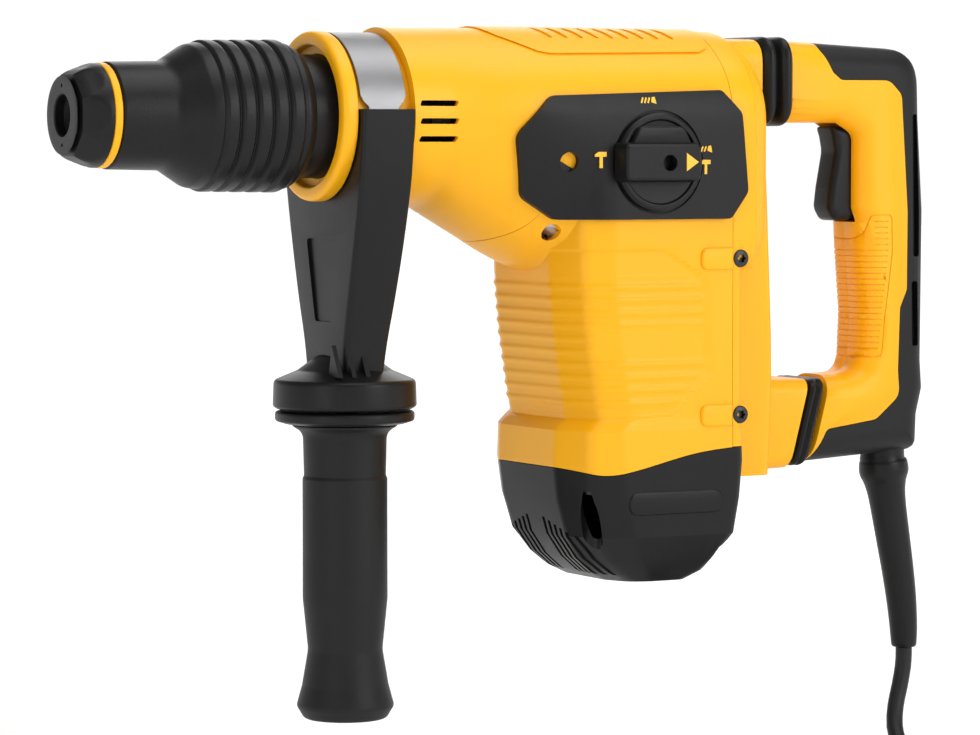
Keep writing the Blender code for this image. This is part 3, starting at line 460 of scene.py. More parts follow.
def cord_route():
    """The hanging stretch, a crossing over the coil, the coil, and the way out to the plug."""
    end = relief_axis(1)
    top = CORD_Z + 3 * COIL_LIFT
    hanging = [
        (end.x, 0, end.z - 0.4), (end.x, 0, end.z - 4), (450.1, 0, -273),
        (447.8, -0.6, -282.5), (444.2, -2.4, -292), (440.6, -7, -302),
        (438.6, -15, -310.4), (437.6, -26, -315),
    ]
    crossing = []
    for degrees, radius in ((6, 50), (-16, 48.5), (-40, 46), (-70, 42.5), (-105, 38.5), (-140, 35.2)):
        crossing.append(coil_point(radius, math.radians(degrees), top))
    wound, angle = coil_points(math.radians(-172))
    settle = coil_point(33.4, math.radians(-160), top - 4)
    plug_x, plug_y, plug_z = plug_start()
    tail = []
    while (angle + math.pi) % (2 * math.pi) > COIL_STEP:
        tail.append(coil_point(COIL_OUTER - CORD_R, angle, CORD_Z))
        angle -= COIL_STEP
    tail += [
        (plug_x, COIL_Y + 2, FLOOR_Z + CORD_R + 1), (plug_x, COIL_Y + 14, FLOOR_Z + CORD_R + 3.5),
        (plug_x, plug_y - 6, plug_z - 0.8), (plug_x, plug_y + 1, plug_z),
    ]
    return hanging + crossing + [settle] + wound + tail


def make_cord():
    route = curve_through(cord_route(), 2)
    places = [world(p) for p in route]
    curve = bpy.data.curves.new("power_cord_line", "CURVE")
    curve.dimensions = "3D"
    curve.bevel_depth = CORD_R * MM
    curve.bevel_resolution = 5
    curve.use_fill_caps = True
    line = curve.splines.new("POLY")
    line.points.add(len(places) - 1)
    for point, place in zip(line.points, places):
        point.co = (*place, 1)
    line.use_smooth = True
    cord = placed("power_cord_line", curve)
    show(cord, "cord_jacket", "rear_handle", "power_cord", "cord_coil")
    plug = make_plug()


def make_plug():
    at = plug_start()
    body = turned("plug_body", "Y", at, rounded([
        (0.2, 0, 0), (0.2, 5.4, 0.8), (13.5, 6.4, 2), (16, 9.4, 2), (20, 10.8, 2), (40, 10.8, 2.5),
        (44, 9.4, 1.2), (44, 0, 0),
    ], 4), 48)
    for i in range(4):
        groove = turned("groove", "Y", at, [
            (2.6 + i * 2.8, 4.6), (2.6 + i * 2.8, 9), (3.8 + i * 2.8, 9), (3.8 + i * 2.8, 4.6),
        ], 48)
        cut(body, groove)
    show(body, "black_plastic", "rear_handle", "mains_plug")
    pins = many("plug_pins", [
        pin_shell((at[0] + side * 5, at[1], at[2]), 44.2, 62, 2) for side in (-1, 1)
    ])
    show(pins, "bright_steel", "rear_handle")
    return body


def pin_shell(centre, start, end, radius):
    profile = [(start, 0), (start, radius), (end - 1.2, radius), (end - 0.3, radius * 0.7), (end, 0)]
    return loft([
        [turn_point("Y", centre, y, max(r, 1e-4), a) for a in turn_angles(20)] for y, r in profile
    ])


def area_light(name, place, target, size, power):
    data = bpy.data.lights.new(name, "AREA")
    data.shape = "RECTANGLE"
    data.size, data.size_y = size
    data.energy = power
    light = placed(name, data)
    aim(light, place, Vector(target) - Vector(place))


def make_sky():
    """White at the horizon all round, so that the floor fades into it, and soft grey above."""
    sky = bpy.data.worlds.new("studio")
    sky.use_nodes = True
    tree = sky.node_tree
    place = tree.nodes.new("ShaderNodeTexCoord")
    parts = tree.nodes.new("ShaderNodeSeparateXYZ")
    tree.links.new(place.outputs["Generated"], parts.inputs["Vector"])
    height = tree.nodes.new("ShaderNodeMath")
    height.operation = "ABSOLUTE"
    tree.links.new(parts.outputs["Z"], height.inputs[0])
    fade = ranged(tree, height.outputs["Value"], 0.12, 0.26, 1.03, 0.26)
    fade.interpolation_type = "SMOOTHSTEP"
    tree.links.new(fade.outputs["Result"], tree.nodes["Background"].inputs["Strength"])
    tree.nodes["Background"].inputs["Color"].default_value = (1, 1, 1, 1)
    bpy.context.scene.world = sky


def brighten_far_away(paper):
    """The floor glows a little more with distance from the object, as if lit from beneath."""
    tree = paper.node_tree
    shader = tree.nodes["Principled BSDF"]
    place = tree.nodes.new("ShaderNodeTexCoord")
    distance = tree.nodes.new("ShaderNodeVectorMath")
    distance.operation = "LENGTH"
    tree.links.new(place.outputs["Object"], distance.inputs[0])
    glow = ranged(tree, distance.outputs["Value"], 0.8, 2.6, 0.22, 0.9)
    tree.links.new(glow.outputs["Result"], shader.inputs["Emission Strength"])
    shader.inputs["Emission Color"].default_value = (1, 1, 1, 1)


def make_studio():
    """A plain pale floor, a soft sky and four softboxes."""
    floor_z = world((0, 0, FLOOR_Z)).z - 0.0005
    mesh = bpy.data.meshes.new("floor")
    corners = [(-12, -12, floor_z), (12, -12, floor_z), (12, 12, floor_z), (-12, 12, floor_z)]
    mesh.from_pydata(corners, [], [(0, 1, 2, 3)])
    floor = placed("floor", mesh)
    paper = surface("pale paper", (0.95, 0.95, 0.95), 0.9, depth=0.02, grain=200, tint=0.005, gloss=0.1)
    brighten_far_away(paper)
    floor.data.materials.append(paper)
    make_sky()
    middle = tuple(world((240, 0, -80)))
    area_light("top_softbox", (0, -0.25, 1.35), middle, (1.6, 1), 14)
    area_light("front_softbox", (0.75, -1.9, 0.75), middle, (1.1, 1.1), 20)
    area_light("left_strip", (-1.5, -0.7, 0.35), middle, (0.4, 1.3), 3)
    area_light("rear_softbox", (0.6, 1.6, 0.9), middle, (1.2, 1), 9)
    bpy.context.scene.view_settings.view_transform = "Standard"


# ---------------- nose
def make_nose_cap():
    """A round cap with eight lens-shaped flats worn into its shoulder."""
    outside = curve_through([
        (0, 9.7, 99), (0, 16.8, 99), (0.5, 17.8, 16.9), (2.5, 19.4, 18), (6, 21.4, 19.9),
        (10, 22.6, 21.5), (13.5, 23.2, 23.3), (15.7, 23.3, 26),
    ], 3)
    segments = 96
    rings = []
    for x, radius, flat in outside:
        ring = []
        for a in turn_angles(segments):
            offset = (a + math.pi / 8) % (math.pi / 4) - math.pi / 8
            ring.append(turn_point("X", (0, 0, 0), x, min(radius, flat / math.cos(offset)), a))
        rings.append(ring)
    for x, radius in ((15.7, 15.2), (4.6, 15.2), (4.6, 9.7), (0.6, 9.3)):
        rings.append([
            turn_point("X", (0, 0, 0), x, radius, a) for a in turn_angles(segments)
        ])
    cap = lofted("nose_shell", rings, closed=True)
    for side in (-1, 1):
        cut(cap, rod("pin_mark", "X", (0, 0, side * 13.2), -1, 2, 0.9, 16))
    show(cap, "black_rubber", "spindle", "nose_cap")


def sleeve_corners():
    corners = [(20, 22.8, 0.8), (20.6, 24, 1), (47, 24.5, 9), (59.5, 32.2, 5), (64.2, 33.1, 1)]
    for i in range(5):
        middle = 68.5 + i * 8
        crest = 34.2 + 0.12 * i
        corners += [
            (middle - 3.9, crest - 1.7, 0.5), (middle - 2.6, crest, 1.5), (middle + 2.4, crest, 1.5),
            (middle + 3.7, crest - 1.7, 0.5),
        ]
    return corners + [(106.5, 33.4, 4), (111, 30.6, 2)]


def make_sleeve():
    inside = [(111, 28.7, 0.2), (62, 28.7, 0.2), (55, 21.8, 0.2), (24.2, 21.8, 0.2), (24.2, 15.2, 0.2),
              (20, 15.2, 0.2)]
    profile = rounded(sleeve_corners() + inside, 4)
    sleeve = turned("sleeve_shell", "X", (0, 0, 0), profile, 96)
    show(sleeve, "black_rubber", "sleeve", "locking_sleeve")
    ring = turned("ring_shell", "X", (0, 0, 0), rounded([
        (16, 15.2, 0.2), (16, 23.4, 0.9), (19.7, 23.6, 0.9), (19.7, 15.2, 0.2),
    ], 4), 96)
    show(ring, "yellow_plastic", "spindle", "nose_ring")
    barrel = turned("barrel_shell", "X", (0, 0, 0), rounded([
        (96, 26.3, 0.2), (96, 28.2, 0.4), (170, 28.2, 0.2), (170, 26.3, 0.2),
    ], 3), 96)
    show(barrel, "black_plastic", "hammer_body", "front_barrel")
    collar = turned("collar_shell", "X", (0, 0, 0), rounded([
        (120.2, 32.4, 1.4), (120, 38.9, 3.4), (127.5, 38.9, 0.9), (127.5, 28.5, 0.2), (125, 28.5, 0.2),
        (124.6, 32.4, 1),
    ], 6), 120)
    show(collar, "yellow_plastic", "hammer_body", "collar_ring")


# ---------------- housings
# Right half of the section behind the neck, from the top down: y, z and the angle of the same
# point on the round front section.
SECTION = [
    (0, 41.5, 90), (11.5, 40.7, 74), (21.5, 37.7, 58), (31, 32, 44), (40, 24, 31),
    (46, 15, 18), (49.2, 5, 5), (50, -6, -8), (50, -33, -30), (50, -60, -52),
    (46.5, -69.5, -66), (37, -73, -79), (0, -73, -90),
]
BODY_BOTTOM = -73
# x, how far the section has changed from round to full above and below the axis, how far its
# oval underside has become square, and its scale
STATIONS = [
    (155, 0, 0, 0, 1), (172, 0, 0, 0, 1), (181, 0.15, 0.14, 0, 1),
    (190, 0.36, 0.30, 0, 1), (200, 0.62, 0.48, 0, 1), (215, 0.91, 0.75, 0, 1),
    (229, 1, 0.94, 0, 1), (240, 1, 1, 0.4, 1), (255, 1, 1, 1, 1),
    (322, 1, 1, 1, 1), (333, 1, 1, 1, 0.95), (341, 1, 1, 1, 0.84),
    (347, 1, 1, 1, 0.66),
]


def upper_ring(x, above, below, square, scale, inward, detail):
    half = []
    for y, z, degrees in curve_through(SECTION, detail):
        y = min(y, BODY_W)
        angle = math.radians(degrees)
        round_y, round_z = FRONT_R * math.cos(angle), FRONT_R * math.sin(angle)
        lower = step(-degrees, -6, 22)
        oval_y, oval_z = BODY_W * math.cos(angle), -BODY_BOTTOM * math.sin(angle)
        y += (oval_y - y) * lower * (1 - square)
        z += (oval_z - z) * lower * (1 - square)
        full = above + (below - above) * lower
        wide = round_y + (y - round_y) * full
        tall = round_z + (z - round_z) * full
        half.append((wide * scale * (1 - inward / BODY_W), tall * scale * (1 - inward / 45)))
    ring = half + [(-y, z) for y, z in reversed(half[1:-1])]
    return [(x, round(y, 4), round(z, 4)) for y, z in ring]


def upper_volume(inward, detail=4, ends=0):
    stations = [list(s) for s in STATIONS]
    stations[0][0] += inward + ends
    stations[-1][0] -= inward + ends
    stations = curve_through(stations, detail)
    rings = [upper_ring(x, *[min(max(v, 0), 1) for v in shape], inward, detail) for x, *shape in stations]
    return lofted("upper_volume", rings)


def lower_stations():
    return [
        (-38, 231, 325, BODY_W), (-72, 231.4, 325, BODY_W), (-101, 234, 325, BODY_W),
        (-127, 238, 325, BODY_W), (-141, 240.3, 325, BODY_W), (-146, 235.2, 325.5, 50.5),
        (-162, 234.6, 326, 50.5), (-179, 236.8, 324.8, 50), (-196, 242, 322, 49.3),
        (-207, 249.8, 315.5, 43.5), (-214, 258, 310, 39.5), (-218.4, 267, 303, 35),
    ]


def between(stations, z):
    """The lower stations' values at height z."""
    for upper, lower in zip(stations, stations[1:]):
        if upper[0] >= z >= lower[0]:
            t = (upper[0] - z) / (upper[0] - lower[0])
            return [p + (q - p) * t for p, q in zip(upper, lower)]
    return list(stations[-1] if z < stations[-1][0] else stations[0])


def plan_outline(front, back, width, inward, steps):
    w = width - inward
    taper = min(24, 0.4 * (back - front))
    half = [
        (front + inward, 0.53 * w, 8), (front + inward + 0.38 * taper, 0.90 * w, 10),
        (front + inward + taper, w, 14), (back - inward, w, 7),
    ]
    return rounded(half + [(x, -y, r) for x, y, r in reversed(half)], steps)


def lower_volume(inward):
    stations = [list(s) for s in lower_stations()]
    if inward:
        stations[-1][0] += inward
    rings = []
    for z, front, back, width in stations:
        rings.append([(x, y, z) for x, y in plan_outline(front, back, width, inward, 6)])
    return lofted("lower_volume", rings)


def step(value, start, end):
    t = min(1, max(0, (value - start) / (end - start)))
    return t * t * (3 - 2 * t)


PANEL = [(229, -61.1), (281.6, -61.1), (302.9, -74), (305.7, -83.9), (305.8, -120), (286.7, -140),
         (229, -142.5)]


def inside_panel(x, z):
    """Distance in from the panel's edge, negative outside it; PANEL runs clockwise."""
    nearest = 99
    for (x0, z0), (x1, z1) in zip(PANEL, PANEL[1:]):
        length = math.hypot(x1 - x0, z1 - z0)
        away = ((x - x0) * (z1 - z0) - (z - z0) * (x1 - x0)) / length
        nearest = min(nearest, away)
    return nearest


def panel_depth(x, z):
    """How far the motor housing's wall is sunk at this place: the panel, less its ribs."""
    inside = inside_panel(max(x, 230), z)
    depth = 1.1 * step(inside, 0, 1.8)
    rib = 0.5 + 0.5 * math.cos(2 * math.pi * (z + 79) / 6)
    blank = step(x, 243, 248) * step(z, -114.5, -111.5) * step(-z, 95.5, 98.5)
    at_ribs = step(inside, 3, 5.5) * (1 - blank) * step(-z, 73, 76.5)
    return depth - 0.85 * at_ribs * rib ** 2


def motor_skin():
    """The motor housing's outside as a fine grid, sunk and ribbed round its sides and front."""
    stations = lower_stations()
    rings = []
    z = -38
    while z > -169:
        _, front, back, width = between(stations, z)
        outline = plan_outline(front, back, width, 0, 7)
        fine = []
        for (x0, y0), (x1, y1) in zip(outline, outline[1:] + outline[:1]):
            pieces = max(1, round(math.hypot(x1 - x0, y1 - y0) / 3))
            fine.append((x0, y0, x1, y1, pieces))
        rings.append((z, fine))
        z -= 0.75
    counts = [piece[4] for piece in rings[60][1]]
    grid = []
    for z, fine in rings:
        ring = []
        for (x0, y0, x1, y1, _), pieces in zip(fine, counts):
            for k in range(pieces):
                x = x0 + (x1 - x0) * k / pieces
                y = y0 + (y1 - y0) * k / pieces
                ring.append((x, y))
        spots = []
        for i, (x, y) in enumerate(ring):
            before, after = ring[i - 1], ring[(i + 1) % len(ring)]
            along = Vector((after[0] - before[0], after[1] - before[1])).normalized()
            inward = Vector((along.y, -along.x))
            if inward.dot(Vector((280 - x, -y))) < 0:
                inward.negate()
            depth = panel_depth(x, z) if x < 310 else 0
            spots.append((x + inward.x * depth, y + inward.y * depth, z))
        grid.append(spots)
    return lofted("motor_skin", grid)


def seam(upper):
    shift = GAP / 2 if upper else -GAP / 2
    curve = curve_through([
        (150, -61.5), (188, -60.6), (202, -58.3), (211, -54.6), (217.5, -50), (223, -43),
    ], 4)
    edge = [(x, z + shift) for x, z in curve] + [(360, -43 + shift)]
    far = 60 if upper else -230
    return edge + [(360, far), (150, far)]


def cap_line(upper):
    shift = GAP / 2 if upper else -GAP / 2
    curve = curve_through([
        (220, -161), (236, -163.5), (250, -166.5), (266, -164.5), (301, -157), (340, -154),
    ], 6)
    edge = [(x, z + shift) for x, z in curve]
    far = 0 if upper else -230
    return edge + [(340, far), (220, far)]


def front_of_cover():
    return box("front_half", (100, -80, -240), (COVER_X, 80, 80))


def make_gear_housing():
    housing = upper_volume(0)
    housing.name = "gear_housing_shell"
    cut(housing, upper_volume(WALL, 2))
    keep(housing, slab("above_seam", seam(True), -80, 80))
    keep(housing, front_of_cover())
    neck = rod("neck", "X", (0, 0, 0), NECK_FRONT + GAP, 157, NECK_R, 96)
    join(housing, neck)
    cut(housing, rod("bore", "X", (0, 0, 0), 100, 170, 28.5, 96))
    cut(housing, rod("selector_hole", "Y", (KNOB_X, 0, KNOB_Z), -70, -30, 6.5))
    for z in (5.8, -2.3, -10.4):
        for side in (-1, 1):
            outline = rounded([
                (157.2, z - 1.3, 0.8), (176, z - 1.3, 0.8), (177.6, z + 1.3, 0.8), (158.4, z + 1.3, 0.8),
            ], 3)
            cut(housing, side_slab("slot", outline, side, 34, 46))
    soften(housing, 0.5)
    show(housing, "yellow_plastic", "hammer_body", "gear_housing")


def make_vent_cover():
    cover = upper_volume(-0.9, 4)
    cover.name = "vent_cover_shell"
    outline = rounded([
        (201.5, 60, 0), (203, 40.5, 1), (206.5, 37.5, 3), (222, 30.2, 4), (228, 29.2, 4),
        (309, 30.6, 3), (315, 33, 4), (317.4, 38, 3), (317.6, 60, 0),
    ], 4)
    keep(cover, slab("vent_zone", outline, -60, 60))
    cut(cover, upper_volume(1.2, 3))
    for i in range(9):
        x = 228 + i * 8.2
        for side in (-1, 1):
            slot = [(x, side * 11, 0.8), (x + 3.3, side * 11, 0.8), (x + 7, side * 25.5, 0.8),
                    (x + 3.7, side * 25.5, 0.8)]
            cut(cover, plan_slab("vent_slot", rounded(slot, 3), 25, 50))
    soften(cover, 0.35)
    show(cover, "yellow_plastic", "hammer_body", "vent_cover")
    bed = upper_volume(0.55, 3)
    bed.name = "vent_shade"
    keep(bed, box("vent_bed", (224, -27, 20), (303, 27, 60)))
    cut(bed, upper_volume(1.1, 3))
    show(bed, "black_plastic", "hammer_body")


def make_motor_housing():
    housing = motor_skin()
    housing.name = "motor_housing_shell"
    cut(housing, lower_volume(WALL))
    keep(housing, front_of_cover())
    keep(housing, slab("above_cap", cap_line(True), -80, 80))
    chin = upper_volume(0)
    cut(chin, upper_volume(WALL, 2))
    keep(chin, box("chin_zone", (150, -60, -80), (243, 60, -38)))
    cut(chin, lower_volume(WALL))
    join(housing, chin)
    cut(housing, upper_volume(WALL, 2))
    keep(housing, slab("below_seam", seam(False), -80, 80))
    for z in (-66.4, -140):
        for side in (-1, 1):
            low, high = z - 5.2, z + 5.2
            corners = [(300.5, low, 4), (317.7, low, 0.6), (317.7, high, 0.6), (300.5, high, 4)]
            join(housing, pillow("boss", corners, 3.2, 1.2, 3, side * 48.4))
    for side in (-1, 1):
        boss = rod("corner_boss", "Z", (248.2, side * 36.6, 0), -190, -149.5, 6, 40)
        cut(boss, lower_volume(1.5))
        join(housing, keep(boss, slab("above_cap", cap_line(True), -80, 80)))
        recess = rod("screw_recess", "Y", (229.5, 0, -53.5), *sorted((side * 60, side * 25.5)), 3.9, 32)
        cut(housing, recess)
    soften(housing, 0.45, 2, 45)
    show(housing, "yellow_plastic", "hammer_body", "motor_housing")


def make_motor_cap():
    cap = lower_volume(0)
    cap.name = "motor_cap_shell"
    keep(cap, slab("below_line", cap_line(False), -80, 80))
    cut(cap, lower_volume(WALL))
    for side in (-1, 1):
        outline = oblong(262, 313, -185.6, -174.6, 5.4)
        join(cap, pillow("raised_oblong", outline, 3, 1, 3, side * 47.8))
        cut(cap, rod("screw_channel", "Z", (248, side * 39.4, 0), -209, -174, 5.2, 40))
        for k in range(6):
            y = side * (8 + 4.6 * k)
            fin_gap = lower_volume(-1)
            cut(fin_gap, lower_volume(1.2))
            keep(fin_gap, box("fin_zone", (225, y - 1.2, -215), (281 - 2.2 * k, y + 1.2, -188 - 1.5 * k)))
            cut(cap, fin_gap)
        notch = rounded([(322, -196, 1), (322, -214, 1), (309, -214, 2), (314, -203, 2)], 3)
        cut(cap, side_slab("rear_notch", notch, side, 32, 52))
    shade(cap, 19)
    soften(cap, 0.6, 2, 22)
    show(cap, "black_plastic", "hammer_body", "motor_cap")


def rear_spine():
    rings = []
    for z, back in curve_through([(12, 347.5), (-8, 349.8), (-57, 352.3), (-121, 354.4), (-171, 352.5)], 4):
        corners = [(300, -32, 0.1), (back, -32, 8), (back, 32, 8), (300, 32, 0.1)]
        rings.append([(x, y, z) for x, y in rounded(corners)])
    return lofted("spine", rings)


def slant(shift):
    return [(300, -60), (404.3 + shift, -92), (379.3 + shift, -186), (300, -190)]


def make_rear_cover():
    cover = join(upper_volume(0), lower_volume(0))
    cover.name = "rear_cover_shell"
    stub = rounded([(24, -2, 8), (24, 37.5, 12), (-24, 37.5, 12), (-24, -2, 8)])
    foot = pillow("foot", [
        (300, -105, 1), (351, -112, 6), (357, -126, 6), (400, -127, 1), (400, -168.2, 1),
        (340, -170.8, 4), (300, -170.8, 1),
    ], 20, 7)
    keep(foot, slab("before_gaiter", slant(-14), -40, 40))
    join(cover, cross_slab("stub", stub, 322, 350.7), rear_spine(), foot)
    cut(cover, box("front", (100, -90, -240), (COVER_X + GAP, 90, 80)))
    cut(cover, box("below_cap", (300, -90, -240), (326.5, 90, -154.9)))
    cut(cover, upper_volume(WALL, 2))
    cut(cover, box("motor_room", (310, -46.5, -150), (321.8, 46.5, -40)))
    cut(cover, box("spine_room", (310, -28, -150), (345, 28, -40)))
    cut(cover, rod("spring_room", "X", (0, 0, 17.5), 326, 360, 11.5))
    soften(cover, 0.6, 3, 40)
    show(cover, "yellow_plastic", "hammer_body", "rear_cover")


# ---------------- selector
def selector_corners():
    return [
        (220, 9.5, 7), (311.5, 12.6, 3), (321.5, 2, 5), (325, -35, 5), (315.5, -47.6, 4),
        (227.5, -47.6, 8), (209.5, -37, 8), (203, -8.5, 8),
    ]


def make_selector_plate():
    plate = upper_volume(-3, 4, ends=-4)
    plate.name = "selector_plate_shell"
    keep(plate, slab("plate_zone", rounded(selector_corners()), -70, -20))
    cut(plate, upper_volume(-0.35, 4, ends=-2))
    cut(plate, rod("knob_seat", "Y", (KNOB_X, 0, KNOB_Z), -70, -51.6, 24.2, 96))
    cut(plate, rod("knob_hole", "Y", (KNOB_X, 0, KNOB_Z), -70, -30, 6.5))
    cut(plate, rod("plate_hole", "Y", (229.4, 0, -20.9), -70, -47.5, 4.6))
    soften(plate, 0.7, 3, 45)
    show(plate, "selector_grey", "hammer_body", "selector_plate")


def make_selector_knob():
    centre = (KNOB_X, 0, KNOB_Z)
    knob = turned("knob_shell", "Y", centre, rounded([
        (-44, 0, 0), (-44, 6, 0.3), (-51.9, 6, 0.2), (-51.9, 22.8, 0.3), (-54.6, 22.8, 0.6),
        (-55.6, 21.6, 0.5), (-55.6, 19.8, 0.4), (-54.4, 19.2, 0.4), (-54.4, 0, 0),
    ], 4), 96)
    bar = []
    for y, inset in ((-53.9, 0), (-60.5, 0.7), (-62.6, 1.2), (-63.4, 2.2)):
        corners = shrunk(oblong(KNOB_X - 24, KNOB_X + 18.5, KNOB_Z - 9.4, KNOB_Z + 9.4, 3.5), inset)
        bar.append([(x, y, z) for x, z in rounded(corners, 5)])
    join(knob, lofted("bar", bar))
    step_corners = [
        (KNOB_X - 17, KNOB_Z + 8, 1), (KNOB_X + 15, KNOB_Z + 8, 1), (KNOB_X + 11, KNOB_Z + 16.5, 4),
        (KNOB_X - 13, KNOB_Z + 16.5, 4),
    ]
    join(knob, pillow("shoulder", step_corners, 3.2, 1, 3, -55.4))
    cut(knob, rod("knob_mark", "Y", (KNOB_X + 0.2, 0, KNOB_Z - 0.4), -70, -57.5, 3.8))
    soften(knob, 0.35, 2, 45)
    show(knob, "black_plastic", "selector", "selector_knob")
    arrow = slab("knob_arrow", [
        (KNOB_X + 9, KNOB_Z - 4.2), (KNOB_X + 15.4, KNOB_Z), (KNOB_X + 9, KNOB_Z + 4.2),
    ], -63.2, -63.65)
    show(arrow, "yellow_print", "selector")


def drawn(outline, x, z, size):
    return [(x + a * size, z + b * size) for a, b in outline]


def bit_sign(x, z, size):
    """Outlines of a small drill bit lying along x: three slanted flutes and a pointed tip."""
    flute = [(0, 0), (0.16, -0.1), (0.42, 0.5), (0.24, 0.6)]
    tip = [(1.35, 0.05), (2, -0.15), (1.85, 0.65), (1.47, 0.6)]
    return [drawn(flute, x + k * 0.42 * size, z, size) for k in range(3)] + [drawn(tip, x, z, size)]


def hammer_sign(x, z, size):
    head = [(0, 0), (1.5, 0), (1.5, 0.55), (0.45, 0.55), (0, 0.25)]
    shaft = [(0.6, -1.3), (1, -1.3), (1, -0.005), (0.6, -0.005)]
    return [drawn(head, x, z, size), drawn(shaft, x, z, size)]


def prints(outlines, y0, y1):
    return [loft([[(x, y, z) for x, z in outline] for y in (y0, y1)]) for outline in outlines]


def make_signs():
    """Plain pictograms for chiselling, drilling and hammer drilling, printed on the plate."""
    outlines = hammer_sign(241.5, -18.5, 4)
    outlines += bit_sign(296.5, -16, 4) + hammer_sign(298.2, -22, 3.6)
    signs = many("plate_signs", prints(outlines, -52.6, -53.35))
    show(signs, "yellow_print", "hammer_body")
    upper = many("upper_sign", prints(bit_sign(266.5, 6.5, 4.2), -50, -52.9))
    keep(upper, upper_volume(-3.15, 4, ends=-4))
    show(upper, "yellow_print", "hammer_body")


# ---------------- rear handle
def handle_corners():
    return [
        (350, 38.4, 2), (449.3, 33.4, 23), (450.2, 0, 30), (453, -45, 30), (452.4, -119, 8),
        (453.4, -133, 7), (450.2, -146, 6), (449.5, -163.6, 6), (404, -166.3, 20), (350, -169.5, 1),
        (350, -126.6, 1), (415.4, -124.6, 11), (416.6, -95, 20), (414.2, -66, 8), (413.4, -50, 6),
        (411, -44, 4), (411, -8, 6), (401, -2.3, 6), (350, -2.3, 2),
    ]


def yellow_corners():
    return [
        (350, 60, 0), (389, 60, 0), (389, 33, 4), (395, 22, 6), (400, 18.3, 4),
        (428, 18.4, 8), (435.2, 11.5, 6), (439, -46, 8), (438.8, -84, 4), (434.8, -93, 4),
        (433.8, -124, 6), (434.8, -136, 8), (421, -147.4, 8), (392.5, -151.2, 4), (383.4, -168, 1),
        (380, -190, 0), (350, -190, 0),
    ]


def handle_volume():
    whole = pillow("handle_volume", handle_corners(), 18, HANDLE_EDGE, 7, 0, 8)
    behind = [(368.6, 60), (470, 60), (470, -190), (377.7, -190), (398.5, -112), (368.6, -112)]
    return keep(whole, slab("behind_joints", behind, -40, 40))


def grip_outline(inward):
    return rounded(shrunk([
        (395, -61.5, 0.1), (411.5, -61.5, 4), (416, -56, 3), (418.6, -47, 2), (430, -47, 3),
        (430.3, -66, 20), (426.4, -96, 10), (424.6, -117, 3), (395, -117, 0.1),
    ], inward), 4)


def grip_grooves():
    """The shallow grooves round the front of the grip: the panel's outline, then its rows."""
    depth = 0.5
    edging = slab("edging", grip_outline(0), -19, 19)
    cut(edging, slab("edging_middle", grip_outline(0.55), -20, 20))
    rows = []
    for i in range(23):
        z = -50.5 - i * 2.82
        left = 395.5 if z < -62.5 else 420.6
        right = 427.4 - 4.6 * max(0, (i - 5) / 17)
        rows.append(loft([
            [(left, y, z - 0.25), (right, y, z - 0.25), (right, y, z + 0.25), (left, y, z + 0.25)]
            for y in (-19, 19)
        ]))
    core = pillow("core", shrunk(handle_corners(), depth), 18 - depth, HANDLE_EDGE - depth, 7, 0, 8)
    return cut(join(edging, many("rows", rows)), core)


def make_handle_shell(name, side, node):
    shell = handle_volume()
    shell.name = name
    keep(shell, slab("yellow_zone", rounded(yellow_corners(), 6), -40, 40))
    low, high = sorted((side * 0.05, side * 40))
    keep(shell, box("half", (340, low, -200), (470, high, 80)))
    cut(shell, box("trigger_slot", (398, -9.2, -50.8), (421.3, 9.2, -2.4)))
    cut(shell, box("switch_room", (421, -13, -62), (434.2, 13, 8)))
    cut(shell, rod("spring_room", "X", (0, 0, 17.5), 360, 378, 11.5))
    cut(shell, rod("rod_room", "X", (0, 0, 17.5), 370, 398, 6.2))
    soften(shell, 0.4, 2, 45)
    cut(shell, grip_grooves())
    show(shell, "yellow_plastic", "rear_handle", node)


def make_overmould():
    mould = handle_volume()
    mould.name = "overmould_shell"
    zone = rounded(shrunk(yellow_corners(), -GAP), 6)
    cut(mould, slab("yellow_zone", zone, -40, 40))
    cut(mould, rod("relief_socket", "Z", (437, 0, 0), -180, -151, 11.3))
    for z0, z1, x0, x1 in ((2, -68, 442, 446.2), (-80, -112, 441.6, 446)):
        outline = rounded([(x0, z0, 1.6), (x1, z0, 1.6), (x1 + 0.9, z1, 1.6), (x0 + 0.6, z1, 1.6)], 3)
        for side in (-1, 1):
            cut(mould, side_slab("inset", outline, side, 12.6, 20))
    soften(mould, 0.5, 2, 45)
    show(mould, "soft_grip", "rear_handle", "grip_overmould")


def make_trigger():
    corners = [
        (400.8, -3.9, 1.6), (414.2, -4.6, 2), (415.6, -22, 6), (415, -49.8, 4), (403.2, -50.2, 4.5),
        (399.4, -44, 7), (400.6, -34, 12), (404, -16, 12), (402.6, -9, 5),
    ]
    trigger = pillow("trigger_shell", corners, 8.5, 3.6, 6, 0, 8)
    show(trigger, "black_plastic", "trigger", "trigger")


